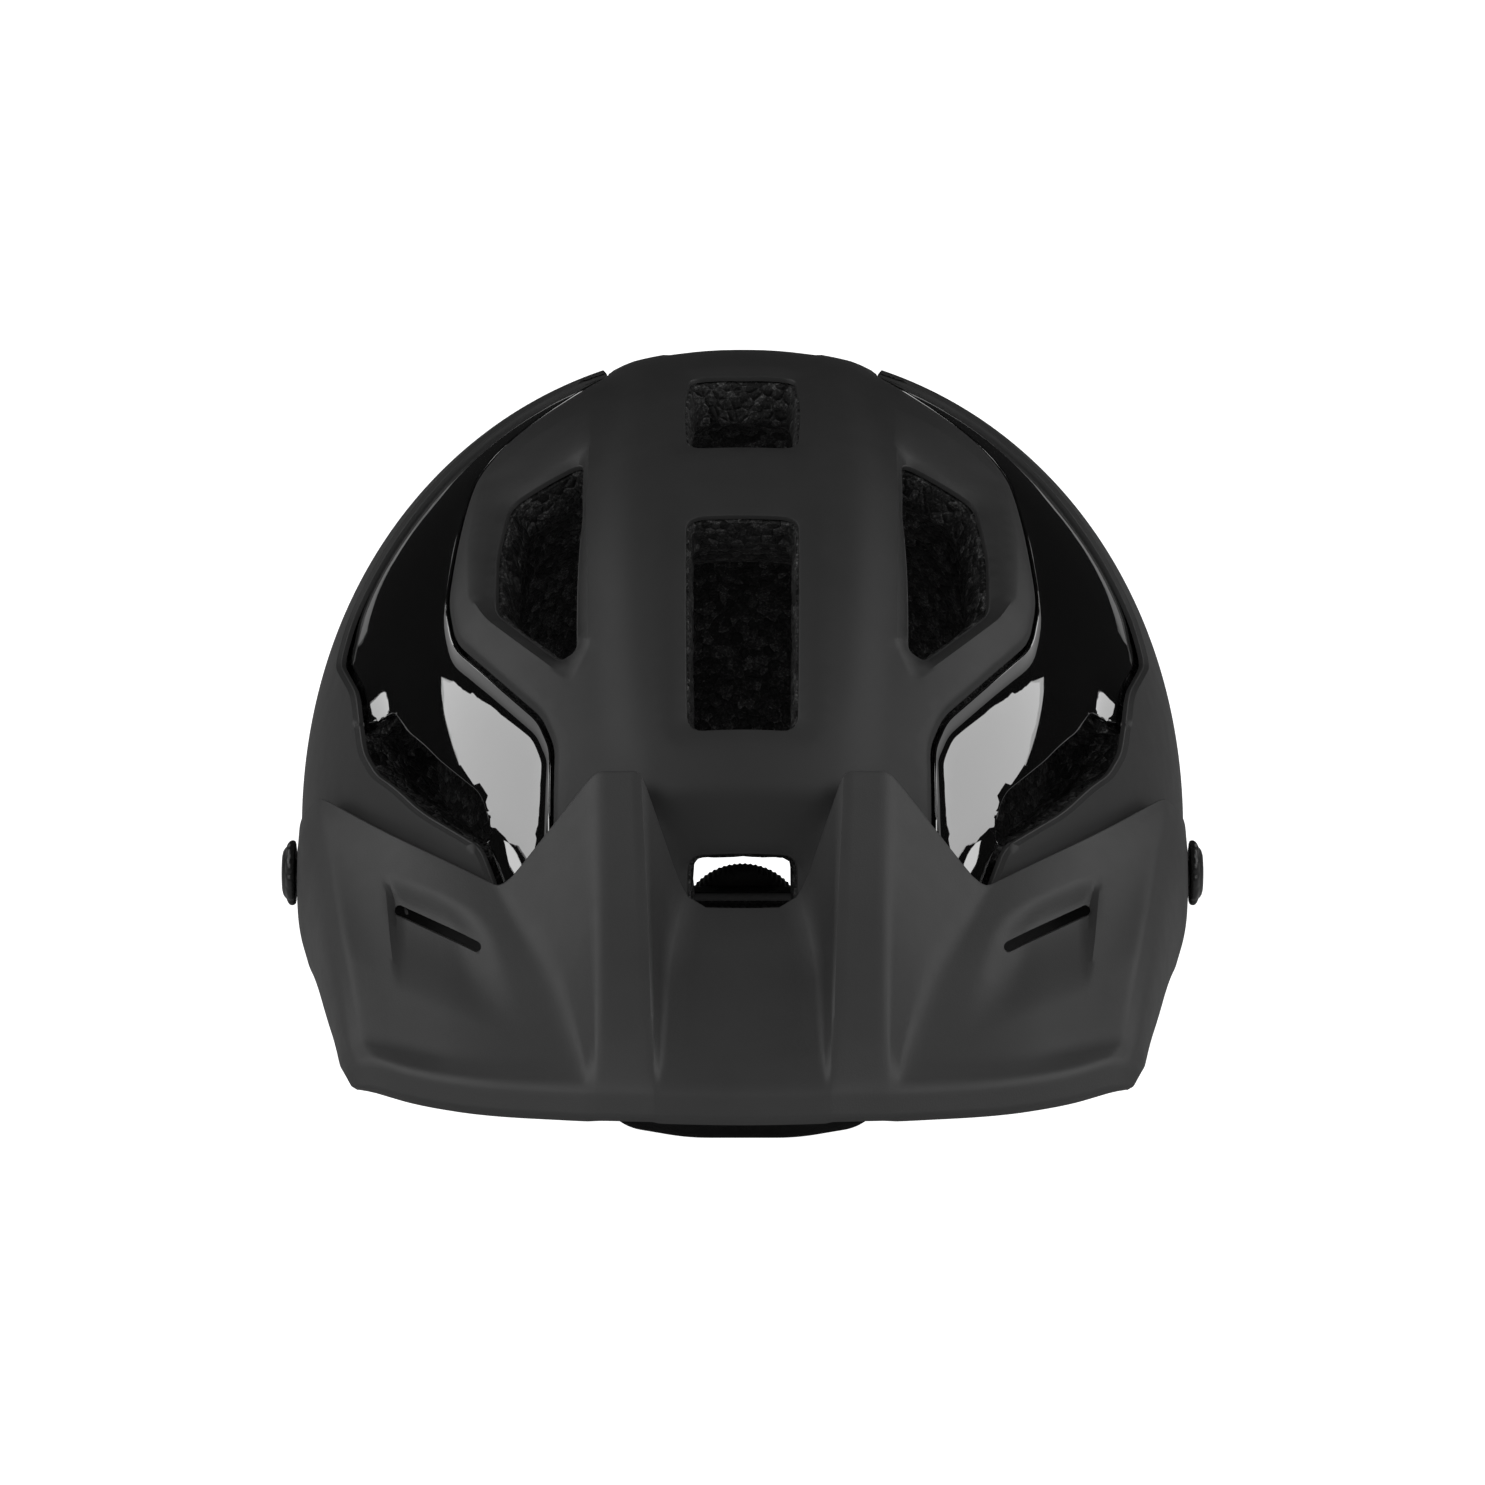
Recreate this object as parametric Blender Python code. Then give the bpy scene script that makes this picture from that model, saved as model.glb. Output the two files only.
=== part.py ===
"""Trail-riding cycling helmet: foam liner, outer shell panels, tilting visor, rear fit system and chin strap.

Frame: metres in Blender, +Z up through the crown, -Y forward, +X to the wearer's left. The origin is the
centre of the wearer's head at ear level. Sizes below are in millimetres and scaled by MM when made.

The shell is laid out on a flattened map, like a pattern laid flat: a map point (u, v) lies at the same
bearing as seen from above, and its distance from the middle is the percentage of the way from the crown
(0) to the rim (100). u grows to the wearer's left and v to the rear.
"""

import math

import bmesh
import bpy
import numpy as np
from mathutils import Matrix, Vector
from mathutils.geometry import delaunay_2d_cdt

MM = 0.001

# The dome: half width, reach to the front and the rear from its widest line, height over and under the equator.
OUTER_FORM = {"width": 106.0, "front": 146.0, "rear": 134.0, "above": 112.0, "below": 150.0}
INNER_FORM = {"width": 81.0, "front": 118.0, "rear": 104.0, "above": 88.0, "below": 150.0}
WIDEST_Y = 8.0
EQUATOR_Z = 50.0
PLAN_POWER = 2.1
SIDE_POWER = 2.05
# Height of the rim at bearings from the front (0) to the rear (180).
RIM_BEARINGS = (0.0, 40.0, 75.0, 105.0, 140.0, 160.0, 180.0)
RIM_HEIGHTS = (46.0, 38.0, 25.0, 22.0, 8.0, 4.0, 12.0)

SHELL_THICKNESS = 1.2
SHELL_GAP = 0.4
PANEL_SEAM = 0.35
SHELL_EDGE = 97.0
GLOSS_RECESS = 7.0
GLOSS_RECESS_REAR = 2.2
GLOSS_STEP = 2.2
MESH_STEP = 12.0
RIM_SIDES = 56

# Outlines on the map, for the left half. The seam lines run from the front rim to the tail of the gloss insert.
CROWN_SEAM = [
    (28.6, -90.0), (27.0, -82.0), (25.1, -72.1), (23.3, -61.4), (24.6, -57.3), (31.3, -49.4), (37.8, -42.0),
    (39.4, -34.6), (38.4, -23.4), (37.0, -7.2), (32.8, -0.1), (24.0, 7.0), (15.0, 16.0),
]
SIDE_SEAM = [
    (28.6, -90.0), (33.0, -88.0), (34.3, -75.7), (35.5, -70.2), (45.4, -61.6), (54.7, -50.9), (57.4, -44.8),
    (58.2, -32.0), (63.9, -15.1), (61.0, -7.0), (54.3, -1.4), (44.3, 5.3), (32.2, 12.2), (23.0, 15.0), (15.0, 16.0),
]
FRONT_SEAM_END = (29.2, -92.5)
CROWN_TAIL = [(15.5, 30.0), (13.0, 46.0), (8.0, 57.0), (0.0, 60.0)]
MIDDLE_VENTS = {
    "front": [(6.0, -62.3), (5.5, -33.5)],
    "top": [(5.4, -20.4), (6.4, -1.6)],
    "brow": [(7.6, -90.0), (6.9, -77.9)],
    "rear": [(5.8, 15.0), (5.2, 38.0)],
}
SIDE_VENTS = {
    "temple": [(20.2, -17.4), (30.6, -19.7), (31.6, -30.0), (31.0, -39.4), (21.6, -49.4), (19.8, -48.6), (18.9, -28.2)],
    "cheek": [
        (54.6, -38.5), (54.6, -43.5), (51.8, -49.0), (43.2, -58.9), (35.8, -65.4), (33.2, -69.5),
        (32.6, -66.0), (41.2, -54.6), (48.2, -45.6), (51.6, -38.5),
    ],
    "rear_side": [(24.0, 29.0), (34.0, 24.0), (45.0, 20.0), (47.0, 29.0), (38.0, 37.0), (25.0, 42.0)],
    "occiput": [(12.0, 68.0), (23.0, 60.0), (27.0, 62.0), (26.0, 69.0), (15.0, 77.0), (11.0, 75.0)],
}
VENT_FILLET = 1.6

# Visor pivot, on an axis along X through both screws.
PIVOT = Vector((0.0, -48.0, 54.8))
EAR_FACE_X = 104.0
VISOR_THICKNESS = 2.0
SCREW_SHANK_RADIUS = 3.0
SCREW_HOLE_RADIUS = 3.6
INSERT_RADIUS = 7.5
INSERT_FLOOR_X = 91.0

# The fit system hangs from two temple plugs on an axis along X.
TEMPLE = Vector((66.8, -42.0, 52.0))
DIAL = Vector((0.0, 100.0, -10.5))
PINION_TEETH = 10
GEAR_MODULE = 0.9
PITCH_RADIUS = PINION_TEETH * GEAR_MODULE / 2
TOOTH_PITCH = math.pi * GEAR_MODULE
BACKLASH = 0.5
KNOB_RADIUS = 16.0
HANGER_X = 24.0
HANGER_RADIUS = 141.0

STRAP_WIDTH = 15.0
STRAP_THICKNESS = 1.2


def clear_scene():
    for obj in list(bpy.data.objects):
        bpy.data.objects.remove(obj)


def material(name, colour, roughness, metallic=0.0):
    made = bpy.data.materials.new(name)
    made.use_nodes = True
    shader = made.node_tree.nodes["Principled BSDF"]
    shader.inputs["Base Color"].default_value = (*colour, 1.0)
    shader.inputs["Roughness"].default_value = roughness
    shader.inputs["Metallic"].default_value = metallic
    return made


def add_node(name, points, faces, surface, smooth_angle=35.0, origin=(0.0, 0.0, 0.0)):
    """One named object from points in millimetres, with its own origin."""
    origin = Vector(origin)
    mesh = bpy.data.meshes.new(name)
    mesh.from_pydata([(Vector(p) - origin) * MM for p in points], [], [tuple(f) for f in faces])
    mesh.validate()
    mesh.shade_smooth()
    mesh.set_sharp_from_angle(angle=math.radians(smooth_angle))
    mesh.materials.append(surface)
    obj = bpy.data.objects.new(name, mesh)
    obj.location = origin * MM
    bpy.context.scene.collection.objects.link(obj)
    return obj


# ---------------------------------------------------------------- the dome and its map


def ease(t):
    t = np.clip(t, 0.0, 1.0)
    return t * t * (3.0 - 2.0 * t)


def rim_height(bearing):
    """Height of the rim at each bearing in radians, eased between the stated ones."""
    angle = np.abs(np.degrees(bearing))
    height = np.full_like(angle, RIM_HEIGHTS[-1])
    for i in range(len(RIM_BEARINGS) - 1):
        low, high = RIM_BEARINGS[i], RIM_BEARINGS[i + 1]
        share = ease((angle - low) / (high - low))
        between = (angle >= low) & (angle <= high)
        height = np.where(between, RIM_HEIGHTS[i] + (RIM_HEIGHTS[i + 1] - RIM_HEIGHTS[i]) * share, height)
    return height


def plan_reach(bearing, form):
    """Distance from the widest line's middle to the form's outline, seen from above."""
    ahead, aside = np.cos(bearing), np.sin(bearing)
    length = np.where(ahead > 0, form["front"], form["rear"])
    total = np.abs(aside / form["width"]) ** PLAN_POWER + np.abs(ahead / length) ** PLAN_POWER
    return total ** (-1.0 / PLAN_POWER)


def rim_angle(bearing):
    """Angle from the crown to the rim, which always lies under the equator."""
    return math.pi / 2 + np.arcsin((EQUATOR_Z - rim_height(bearing)) / OUTER_FORM["below"])


def on_form(uv, form):
    """Points of a form at map points."""
    uv = np.asarray(uv, float).reshape(-1, 2)
    bearing = np.arctan2(uv[:, 0], -uv[:, 1])
    angle = np.hypot(uv[:, 0], uv[:, 1]) / 100.0 * rim_angle(bearing)
    out, up = np.sin(angle), np.cos(angle)
    over = up > 0
    size = (np.abs(out) ** SIDE_POWER + np.abs(up) ** SIDE_POWER) ** (-1.0 / SIDE_POWER)
    size = np.where(over, size, 1.0)
    reach = plan_reach(bearing, form) * out * size
    height = EQUATOR_Z + np.where(over, form["above"], form["below"]) * up * size
    return np.stack([np.sin(bearing) * reach, WIDEST_Y - np.cos(bearing) * reach, height], axis=1)


def normals_on(uv, form):
    step = 0.05
    uv = np.asarray(uv, float).reshape(-1, 2)
    along_u = on_form(uv + [step, 0], form) - on_form(uv - [step, 0], form)
    along_v = on_form(uv + [0, step], form) - on_form(uv - [0, step], form)
    normal = np.cross(along_u, along_v)
    return normal / np.linalg.norm(normal, axis=1)[:, None]


def surface_at(uv, form, offset=0.0):
    """Points at a distance outside a form, along its normals. The distance may differ from point to point."""
    offset = np.broadcast_to(np.asarray(offset, float), (len(uv),))
    return on_form(uv, form) + normals_on(uv, form) * offset[:, None]


def map_point(bearing_degrees, height):
    """The map point of the outer form at a bearing and a height over the equator."""
    bearing = np.array([math.radians(bearing_degrees)])
    rise = (height - EQUATOR_Z) / OUTER_FORM["above"]
    out = (1.0 - rise**SIDE_POWER) ** (1.0 / SIDE_POWER)
    share = 100.0 * math.atan2(out, rise) / float(rim_angle(bearing)[0])
    return np.array([math.sin(bearing[0]), -math.cos(bearing[0])]) * share


def signed_distance(uv, polygon):
    """Distance to a polygon's edge in map units, positive inside."""
    uv = np.asarray(uv, float)
    corners = np.asarray(polygon, float)
    nearest = np.full(len(uv), 1e9)
    inside = np.zeros(len(uv), bool)
    for a, b in zip(corners, np.roll(corners, -1, axis=0)):
        edge = b - a
        share = np.clip(((uv - a) @ edge) / max(edge @ edge, 1e-12), 0.0, 1.0)
        nearest = np.minimum(nearest, np.linalg.norm(uv - a - share[:, None] * edge, axis=1))
        crosses = (a[1] > uv[:, 1]) != (b[1] > uv[:, 1])
        at = a[0] + (uv[:, 1] - a[1]) * (b[0] - a[0]) / (b[1] - a[1] if abs(b[1] - a[1]) > 1e-12 else 1e-12)
        inside ^= crosses & (uv[:, 0] < at)
    return np.where(inside, nearest, -nearest)


def fillet(points, radius, steps=2, closed=True):
    """Rounds the corners of an outline, each by at most a third of its shorter side."""
    points = [Vector(p) for p in points]
    count, made = len(points), []
    for i, corner in enumerate(points):
        if not closed and i in (0, count - 1):
            made.append(tuple(corner))
            continue
        before, after = points[i - 1] - corner, points[(i + 1) % count] - corner
        cut = min(radius, before.length / 3, after.length / 3)
        start, end = corner + before.normalized() * cut, corner + after.normalized() * cut
        for k in range(steps + 1):
            t = k / steps
            made.append(tuple(start * (1 - t) ** 2 + corner * 2 * t * (1 - t) + end * t**2))
    return made


def subdivided(points, step, closed=True):
    """The outline with no side longer than step."""
    made = []
    pairs = list(zip(points, points[1:] + points[:1])) if closed else list(zip(points, points[1:]))
    for a, b in pairs:
        a, b = Vector(a), Vector(b)
        parts = max(1, math.ceil((b - a).length / step))
        made += [tuple(a.lerp(b, k / parts)) for k in range(parts)]
    return made if closed else made + [tuple(points[-1])]


def mirrored(points):
    return [(-u, v) for u, v in reversed(points)]


def circle(radius, count, centre=(0.0, 0.0)):
    turns = [2 * math.pi * k / count for k in range(count)]
    return [(centre[0] + radius * math.cos(t), centre[1] + radius * math.sin(t)) for t in turns]


def gloss_outline():
    crown, side = fillet(CROWN_SEAM, 3.0, closed=False), fillet(SIDE_SEAM, 3.0, closed=False)
    return crown + side[-2:0:-1]


def crown_edge():
    """The crown panel's left edge, from the front rim to its tail."""
    return [FRONT_SEAM_END, *fillet(CROWN_SEAM, 3.0, closed=False), *CROWN_TAIL]


def crown_outline():
    """The crown panel's edge, both sides, closed in front of the rim."""
    left = [(30.0, -115.0), *crown_edge()]
    return left + mirrored(left[:-1])


def pivot_hole():
    """The hole that the visor's threaded insert passes through, as an oval on the map."""
    bearing = math.degrees(math.atan2(98.7, WIDEST_Y - PIVOT.y))
    centre = map_point(bearing, PIVOT.z)
    radial = centre / np.linalg.norm(centre)
    across = np.array([-radial[1], radial[0]])
    radial_reach, across_reach = 5.0, 8.5
    return [tuple(centre + radial * radial_reach * c + across * across_reach * s) for c, s in circle(1.0, 12)]


def vent_outlines():
    """Every opening through the shell and the liner, both sides."""
    made = {}
    for name, side in MIDDLE_VENTS.items():
        made[name] = fillet(side + mirrored(side), VENT_FILLET)
    for name, outline in SIDE_VENTS.items():
        left = fillet(outline, VENT_FILLET)
        made[name + "_left"] = left
        made[name + "_right"] = mirrored(left)
    return made


def triangulate(outlines, open_lines, step, reach):
    """A triangulated disc on the map with every outline as edges: its points and its triangles."""
    points, edges = [], []

    def add(line, closed):
        first = len(points)
        points.extend(line)
        last = len(points) - 1
        edges.extend((i, i + 1) for i in range(first, last))
        if closed:
            edges.append((last, first))

    for outline in outlines:
        add(subdivided(outline, step), True)
    for line in open_lines:
        add(subdivided(line, step, closed=False), False)
    fixed = np.array(points)
    rows = int(reach / (step * 0.866)) + 2
    grid = np.array([
        ((i + 0.5 * (j % 2)) * step, j * step * 0.866) for j in range(-rows, rows + 1) for i in range(-rows, rows + 1)
    ])
    grid = grid[np.hypot(grid[:, 0], grid[:, 1]) < reach - 0.6 * step]
    away = np.linalg.norm(grid[:, None, :] - fixed[None, :, :], axis=2).min(axis=1)
    grid = grid[away > 0.6 * step]
    corners = [Vector(p) for p in [*map(tuple, fixed), *map(tuple, grid)]]
    found, _, faces, *_ = delaunay_2d_cdt(corners, edges, [], 0, 1e-4)
    uv, triangles = np.array([tuple(p) for p in found]), np.array([list(f) for f in faces])
    a, b, c = (uv[triangles[:, k]] for k in range(3))
    turn = (b[:, 0] - a[:, 0]) * (c[:, 1] - a[:, 1]) - (b[:, 1] - a[:, 1]) * (c[:, 0] - a[:, 0])
    triangles[turn < 0] = triangles[turn < 0][:, ::-1]
    return uv, triangles[np.abs(turn) > 1e-6]


def thick_solid(outer, inner, triangles):
    """A closed solid between two matching surfaces: (points, faces)."""
    count = len(outer)
    directed = {(int(t[i]), int(t[(i + 1) % len(t)])) for t in triangles for i in range(len(t))}
    walls = [(b, a, a + count, b + count) for a, b in sorted(directed) if (b, a) not in directed]
    under = [tuple(int(i) + count for i in reversed(t)) for t in triangles]
    return np.vstack([outer, inner]), [tuple(int(i) for i in t) for t in triangles] + under + walls


def used_only(uv, triangles):
    """The points that the triangles use, and the triangles renumbered."""
    used = np.unique(triangles)
    number = np.full(len(uv), -1)
    number[used] = np.arange(len(used))
    return uv[used], number[triangles]


def drawn_in(uv, triangles, amount):
    """The same patch with its border moved in, so that neighbouring panels leave a seam."""
    directed = {(int(t[i]), int(t[(i + 1) % 3])) for t in triangles for i in range(3)}
    shift = np.zeros_like(uv)
    for a, b in directed:
        if (b, a) in directed:
            continue
        edge = uv[b] - uv[a]
        inward = np.array([-edge[1], edge[0]]) / max(np.linalg.norm(edge), 1e-9)
        shift[a] += inward
        shift[b] += inward
    length = np.linalg.norm(shift, axis=1)
    moving = length > 1e-6
    moved = uv.copy()
    moved[moving] += shift[moving] / length[moving][:, None] * amount
    return moved


def relief(uv, widened=0.0):
    """How far the outer surface lies over the dome: the gloss inserts sit in a channel, widened for the foam."""
    aside = np.stack([np.abs(uv[:, 0]), uv[:, 1]], axis=1)
    depth = GLOSS_RECESS_REAR + (GLOSS_RECESS - GLOSS_RECESS_REAR) * ease((-5.0 - uv[:, 1]) / 30.0)
    return -depth * ease((signed_distance(aside, gloss_outline()) + widened) / GLOSS_STEP)


def shell_and_liner(surfaces):
    vents = vent_outlines()
    holes = [pivot_hole(), mirrored(pivot_hole())]
    gloss = gloss_outline()
    crown = crown_outline()
    outlines = [circle(100.0, RIM_SIDES), circle(SHELL_EDGE, RIM_SIDES), gloss, mirrored(gloss), *holes]
    outlines += vents.values()
    lines = [crown_edge()[:2], crown_edge()[-5:]]
    uv, triangles = triangulate(outlines, lines + [mirrored(line) for line in lines], MESH_STEP, SHELL_EDGE)
    middle = uv[triangles].mean(axis=1)
    vented = np.zeros(len(triangles), bool)
    for outline in vents.values():
        vented |= signed_distance(middle, outline) > 0
    holed = np.zeros(len(triangles), bool)
    for outline in holes:
        holed |= signed_distance(middle, outline) > 0
    solid = triangles[~vented]
    holed, middle = holed[~vented], middle[~vented]
    in_left = signed_distance(middle, gloss) > 0
    in_right = signed_distance(middle, mirrored(gloss)) > 0
    in_crown = (signed_distance(middle, crown) > 0) & ~in_left & ~in_right
    in_shell = np.hypot(middle[:, 0], middle[:, 1]) < SHELL_EDGE * math.cos(math.pi / RIM_SIDES)

    foam_uv, foam = used_only(uv, solid)
    foam_outer = surface_at(foam_uv, OUTER_FORM, 1.08 * relief(foam_uv, 1.6) - SHELL_THICKNESS - SHELL_GAP)
    foam_inner = on_form(foam_uv, INNER_FORM)
    liner = add_node("foam_liner", *thick_solid(foam_outer, foam_inner, foam), surfaces["foam"])
    for side in (-1, 1):
        pocket = [(INSERT_FLOOR_X - 0.6, INSERT_RADIUS + 0.6), (110.0, INSERT_RADIUS + 0.6)]
        cutter = turned("pocket", pocket, (0.0, PIVOT.y, PIVOT.z), (side, 0, 0), surfaces["foam"])
        combine(liner, cutter, "DIFFERENCE")

    panels = {
        "crown_shell": (in_crown & in_shell, "shell"),
        "gloss_insert_left": (in_left, "gloss"),
        "gloss_insert_right": (in_right, "gloss"),
        "lower_shell": (in_shell & ~in_crown & ~in_left & ~in_right & ~holed, "shell"),
    }
    for name, (mask, surface) in panels.items():
        panel_uv, panel = used_only(uv, solid[mask])
        height = relief(panel_uv)
        panel_uv = drawn_in(panel_uv, panel, PANEL_SEAM)
        outer = surface_at(panel_uv, OUTER_FORM, height)
        inner = surface_at(panel_uv, OUTER_FORM, height - SHELL_THICKNESS)
        add_node(name, *thick_solid(outer, inner, panel), surfaces[surface])


# ---------------------------------------------------------------- general solids


def grid_faces(rows, columns):
    """Quads of a grid numbered row by row."""
    return [
        (r * columns + c, r * columns + c + 1, (r + 1) * columns + c + 1, (r + 1) * columns + c)
        for r in range(rows - 1)
        for c in range(columns - 1)
    ]


def patch_on_liner(name, uv_rows, near, far, surface):
    """A pad that follows the liner's inner face, between two distances inside it."""
    rows, columns = len(uv_rows), len(uv_rows[0])
    uv = np.array([p for row in uv_rows for p in row])
    faces = grid_faces(rows, columns)
    outer, inner = surface_at(uv, INNER_FORM, -near), surface_at(uv, INNER_FORM, -far)
    a, b, c = (uv[faces[0][k]] for k in range(3))
    if (b[0] - a[0]) * (c[1] - a[1]) - (b[1] - a[1]) * (c[0] - a[0]) < 0:
        faces = [f[::-1] for f in faces]
    return add_node(name, *thick_solid(outer, inner, faces), surface)


def polar_rows(bearings, shares):
    return [
        [(math.sin(math.radians(b)) * s, -math.cos(math.radians(b)) * s) for b in bearings] for s in shares
    ]


def ribbon_points(path, facing, width, thickness):
    """Rings of a flat strip along a path. facing(point) is the way its broad face looks."""
    path = [Vector(p) for p in path]
    rings = []
    for i, point in enumerate(path):
        along = (path[min(i + 1, len(path) - 1)] - path[max(i - 1, 0)]).normalized()
        face = Vector(facing(point))
        face = (face - along * face.dot(along)).normalized()
        side = along.cross(face).normalized()
        half, deep = width / 2, thickness / 2
        signs = ((-half, -deep), (half, -deep), (half, deep), (-half, deep))
        rings.append([point + side * s + face * f for s, f in signs])
    return rings


def tube_of(rings):
    """A closed solid through rings of the same number of points."""
    count = len(rings[0])
    points = [p for ring in rings for p in ring]
    faces = [
        (r * count + k, r * count + (k + 1) % count, (r + 1) * count + (k + 1) % count, (r + 1) * count + k)
        for r in range(len(rings) - 1)
        for k in range(count)
    ]
    last = (len(rings) - 1) * count
    faces += [tuple(reversed(range(count))), tuple(range(last, last + count))]
    return points, outward(points, faces)


def outward(points, faces):
    """The faces turned so that they look out of the solid."""
    mesh = bmesh.new()
    made = [mesh.verts.new(p) for p in points]
    for face in faces:
        mesh.faces.new([made[i] for i in face])
    bmesh.ops.recalc_face_normals(mesh, faces=mesh.faces)
    if mesh.calc_volume(signed=True) < 0:
        bmesh.ops.reverse_faces(mesh, faces=mesh.faces)
    mesh.verts.index_update()
    turned = [tuple(v.index for v in f.verts) for f in mesh.faces]
    mesh.free()
    return turned


def smooth_path(points, count):
    """count points on a Catmull-Rom curve through the given ones."""
    points = [Vector(p) for p in points]
    ends = [points[0] * 2 - points[1], *points, points[-1] * 2 - points[-2]]
    made = []
    for k in range(count):
        at = k / (count - 1) * (len(points) - 1)
        i = min(int(at), len(points) - 2)
        t = at - i
        a, b, c, d = ends[i : i + 4]
        made.append(
            (b * 2 + (c - a) * t + (a * 2 - b * 5 + c * 4 - d) * t**2 + (b * 3 - a - c * 3 + d) * t**3) * 0.5
        )
    return made


def ribbon(name, path, facing, width, thickness, surface, origin=(0.0, 0.0, 0.0)):
    points, faces = tube_of(ribbon_points(path, facing, width, thickness))
    halves = [half for f in faces for half in ((f[0], f[1], f[2]), (f[0], f[2], f[3]))]
    return add_node(name, points, halves, surface, origin=origin)


def turned(name, profile, axis_point, axis, surface, count=24, bore=False):
    """A solid turned about an axis: profile holds (distance along the axis, radius), from one end to the other."""
    axis = Vector(axis).normalized()
    side = axis.orthogonal().normalized()
    other = axis.cross(side)
    rings = []
    for along, radius in profile:
        ring = []
        for k in range(count):
            turn = 2 * math.pi * k / count
            ring.append(Vector(axis_point) + axis * along + (side * math.cos(turn) + other * math.sin(turn)) * radius)
        rings.append(ring)
    if not bore:
        return add_node(name, *tube_of(rings), surface, origin=axis_point)
    points = [p for ring in rings for p in ring]
    total = len(rings)
    faces = [
        (r * count + k, r * count + (k + 1) % count, (r + 1) % total * count + (k + 1) % count, (r + 1) % total * count + k)
        for r in range(total)
        for k in range(count)
    ]
    return add_node(name, points, outward(points, faces), surface, origin=axis_point)


def extruded(name, outline, place, depth, surface, origin=(0.0, 0.0, 0.0)):
    """A flat outline of (a, b) pairs, extruded. place(a, b, along) gives the point."""
    rings = [[Vector(place(a, b, along)) for a, b in outline] for along in depth]
    return add_node(name, *tube_of(rings), surface, origin=origin)


def box(name, matrix, size, surface):
    """A box placed by a matrix in millimetres."""
    points = [
        matrix @ Vector((x * size[0] / 2, y * size[1] / 2, z * size[2] / 2))
        for z in (-1, 1)
        for x, y in ((-1, -1), (1, -1), (1, 1), (-1, 1))
    ]
    faces = [(0, 3, 2, 1), (4, 5, 6, 7), (0, 1, 5, 4), (1, 2, 6, 5), (2, 3, 7, 6), (3, 0, 4, 7)]
    return add_node(name, points, outward(points, faces), surface)


def combine(obj, other, operation):
    """Applies a Boolean between two objects and removes the second."""
    modifier = obj.modifiers.new(operation.lower(), "BOOLEAN")
    modifier.operation = operation
    modifier.solver = "EXACT"
    modifier.object = other
    graph = bpy.context.evaluated_depsgraph_get()
    mesh = bpy.data.meshes.new_from_object(obj.evaluated_get(graph))
    obj.modifiers.clear()
    obj.data = mesh
    bpy.data.objects.remove(other)
    return obj


# ---------------------------------------------------------------- visor


# Rows run from the visor's rear edge to its front lip. Columns run from the middle out over the rib, the
# wing and the flank: middle, floor edge, rib inner top, rib outer top, rib foot, wing, wing, brow line,
# three down the ear and flank, lower edge.
VISOR_ROWS = [
    [
        (0, -138, 76), (12, -137, 76), (22.4, -127, 104.4), (32.7, -124, 103.4), (53.5, -125, 76.3), (66, -111, 78),
        (82, -91, 79), (98, -56, 76), (EAR_FACE_X, -43, 66.5), (EAR_FACE_X, -36, 55), (EAR_FACE_X, -43, 43.5),
        (101.5, -55, 36.5),
    ],
    [
        (0, -142, 75), (13, -141, 75), (22, -134, 99), (32.5, -131, 98.4), (50.8, -132, 74.2), (64.8, -119, 75),
        (81.2, -97, 76), (97.4, -64, 74.6), (103.2, -60, 65.5), (EAR_FACE_X, -60.5, 55), (103.6, -60, 44.5),
        (101, -63, 37),
    ],
    [
        (0, -148, 73.5), (14.5, -147, 73), (21.4, -144, 92), (32.2, -141, 91), (47.5, -141, 71.5), (63, -130, 71),
        (80, -107, 71.5), (94.5, -82, 70.5), (98.7, -79, 63.5), (100.2, -77, 54.5), (99.8, -78, 45), (98, -80, 38.4),
    ],
    [
        (0, -158, 69.3), (16.5, -158, 68.8), (20.5, -160, 81.7), (31.6, -158, 81), (41.3, -158, 67.2), (60, -150, 63.5),
        (77.5, -134, 61), (89.5, -118, 62.5), (93.5, -114, 57.5), (94.7, -112, 51), (94.5, -112, 45.5), (93.6, -114, 41),
    ],
    [
        (0, -175, 64.8), (16.8, -175, 65), (19.8, -176, 73.8), (31.4, -175, 72.4), (37.6, -174, 62.4), (58.8, -165, 58.5),
        (75, -149, 56), (86.2, -136, 56.4), (90, -133, 53), (91.2, -131, 48.8), (91.2, -131, 45), (91, -132, 42.2),
    ],
    [
        (0, -192, 60), (17, -191.5, 60.4), (19.3, -191, 65.6), (31.2, -190, 64), (34.5, -189, 58.3), (58, -178.5, 54.6),
        (73, -163, 51.8), (83.5, -153, 50.6), (86.8, -151, 48.7), (88, -149.5, 46.4), (88.6, -149.5, 44.8), (88.8, -150, 43),
    ],
    [
        (0, -203, 56.6), (17, -202, 56.6), (19, -201.8, 56.8), (31, -199, 55.8), (34, -198, 55.5), (56, -188, 53),
        (71, -176, 51.2), (80.5, -164, 49.6), (84, -160.5, 47.8), (85.6, -158.5, 46.2), (86.3, -158, 44.8), (86.8, -157.5, 43.4),
    ],
    [
        (0, -205.5, 51), (17, -204.5, 51), (19, -204.2, 51), (31, -201.2, 50), (34, -200.2, 49.8), (56, -190, 47.4),
        (71, -178.2, 45.6), (81.5, -166, 44), (84.6, -162.5, 43.2), (86, -160.5, 42.8), (86.8, -159.5, 42.4), (87.4, -159, 42),
    ],
]


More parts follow.
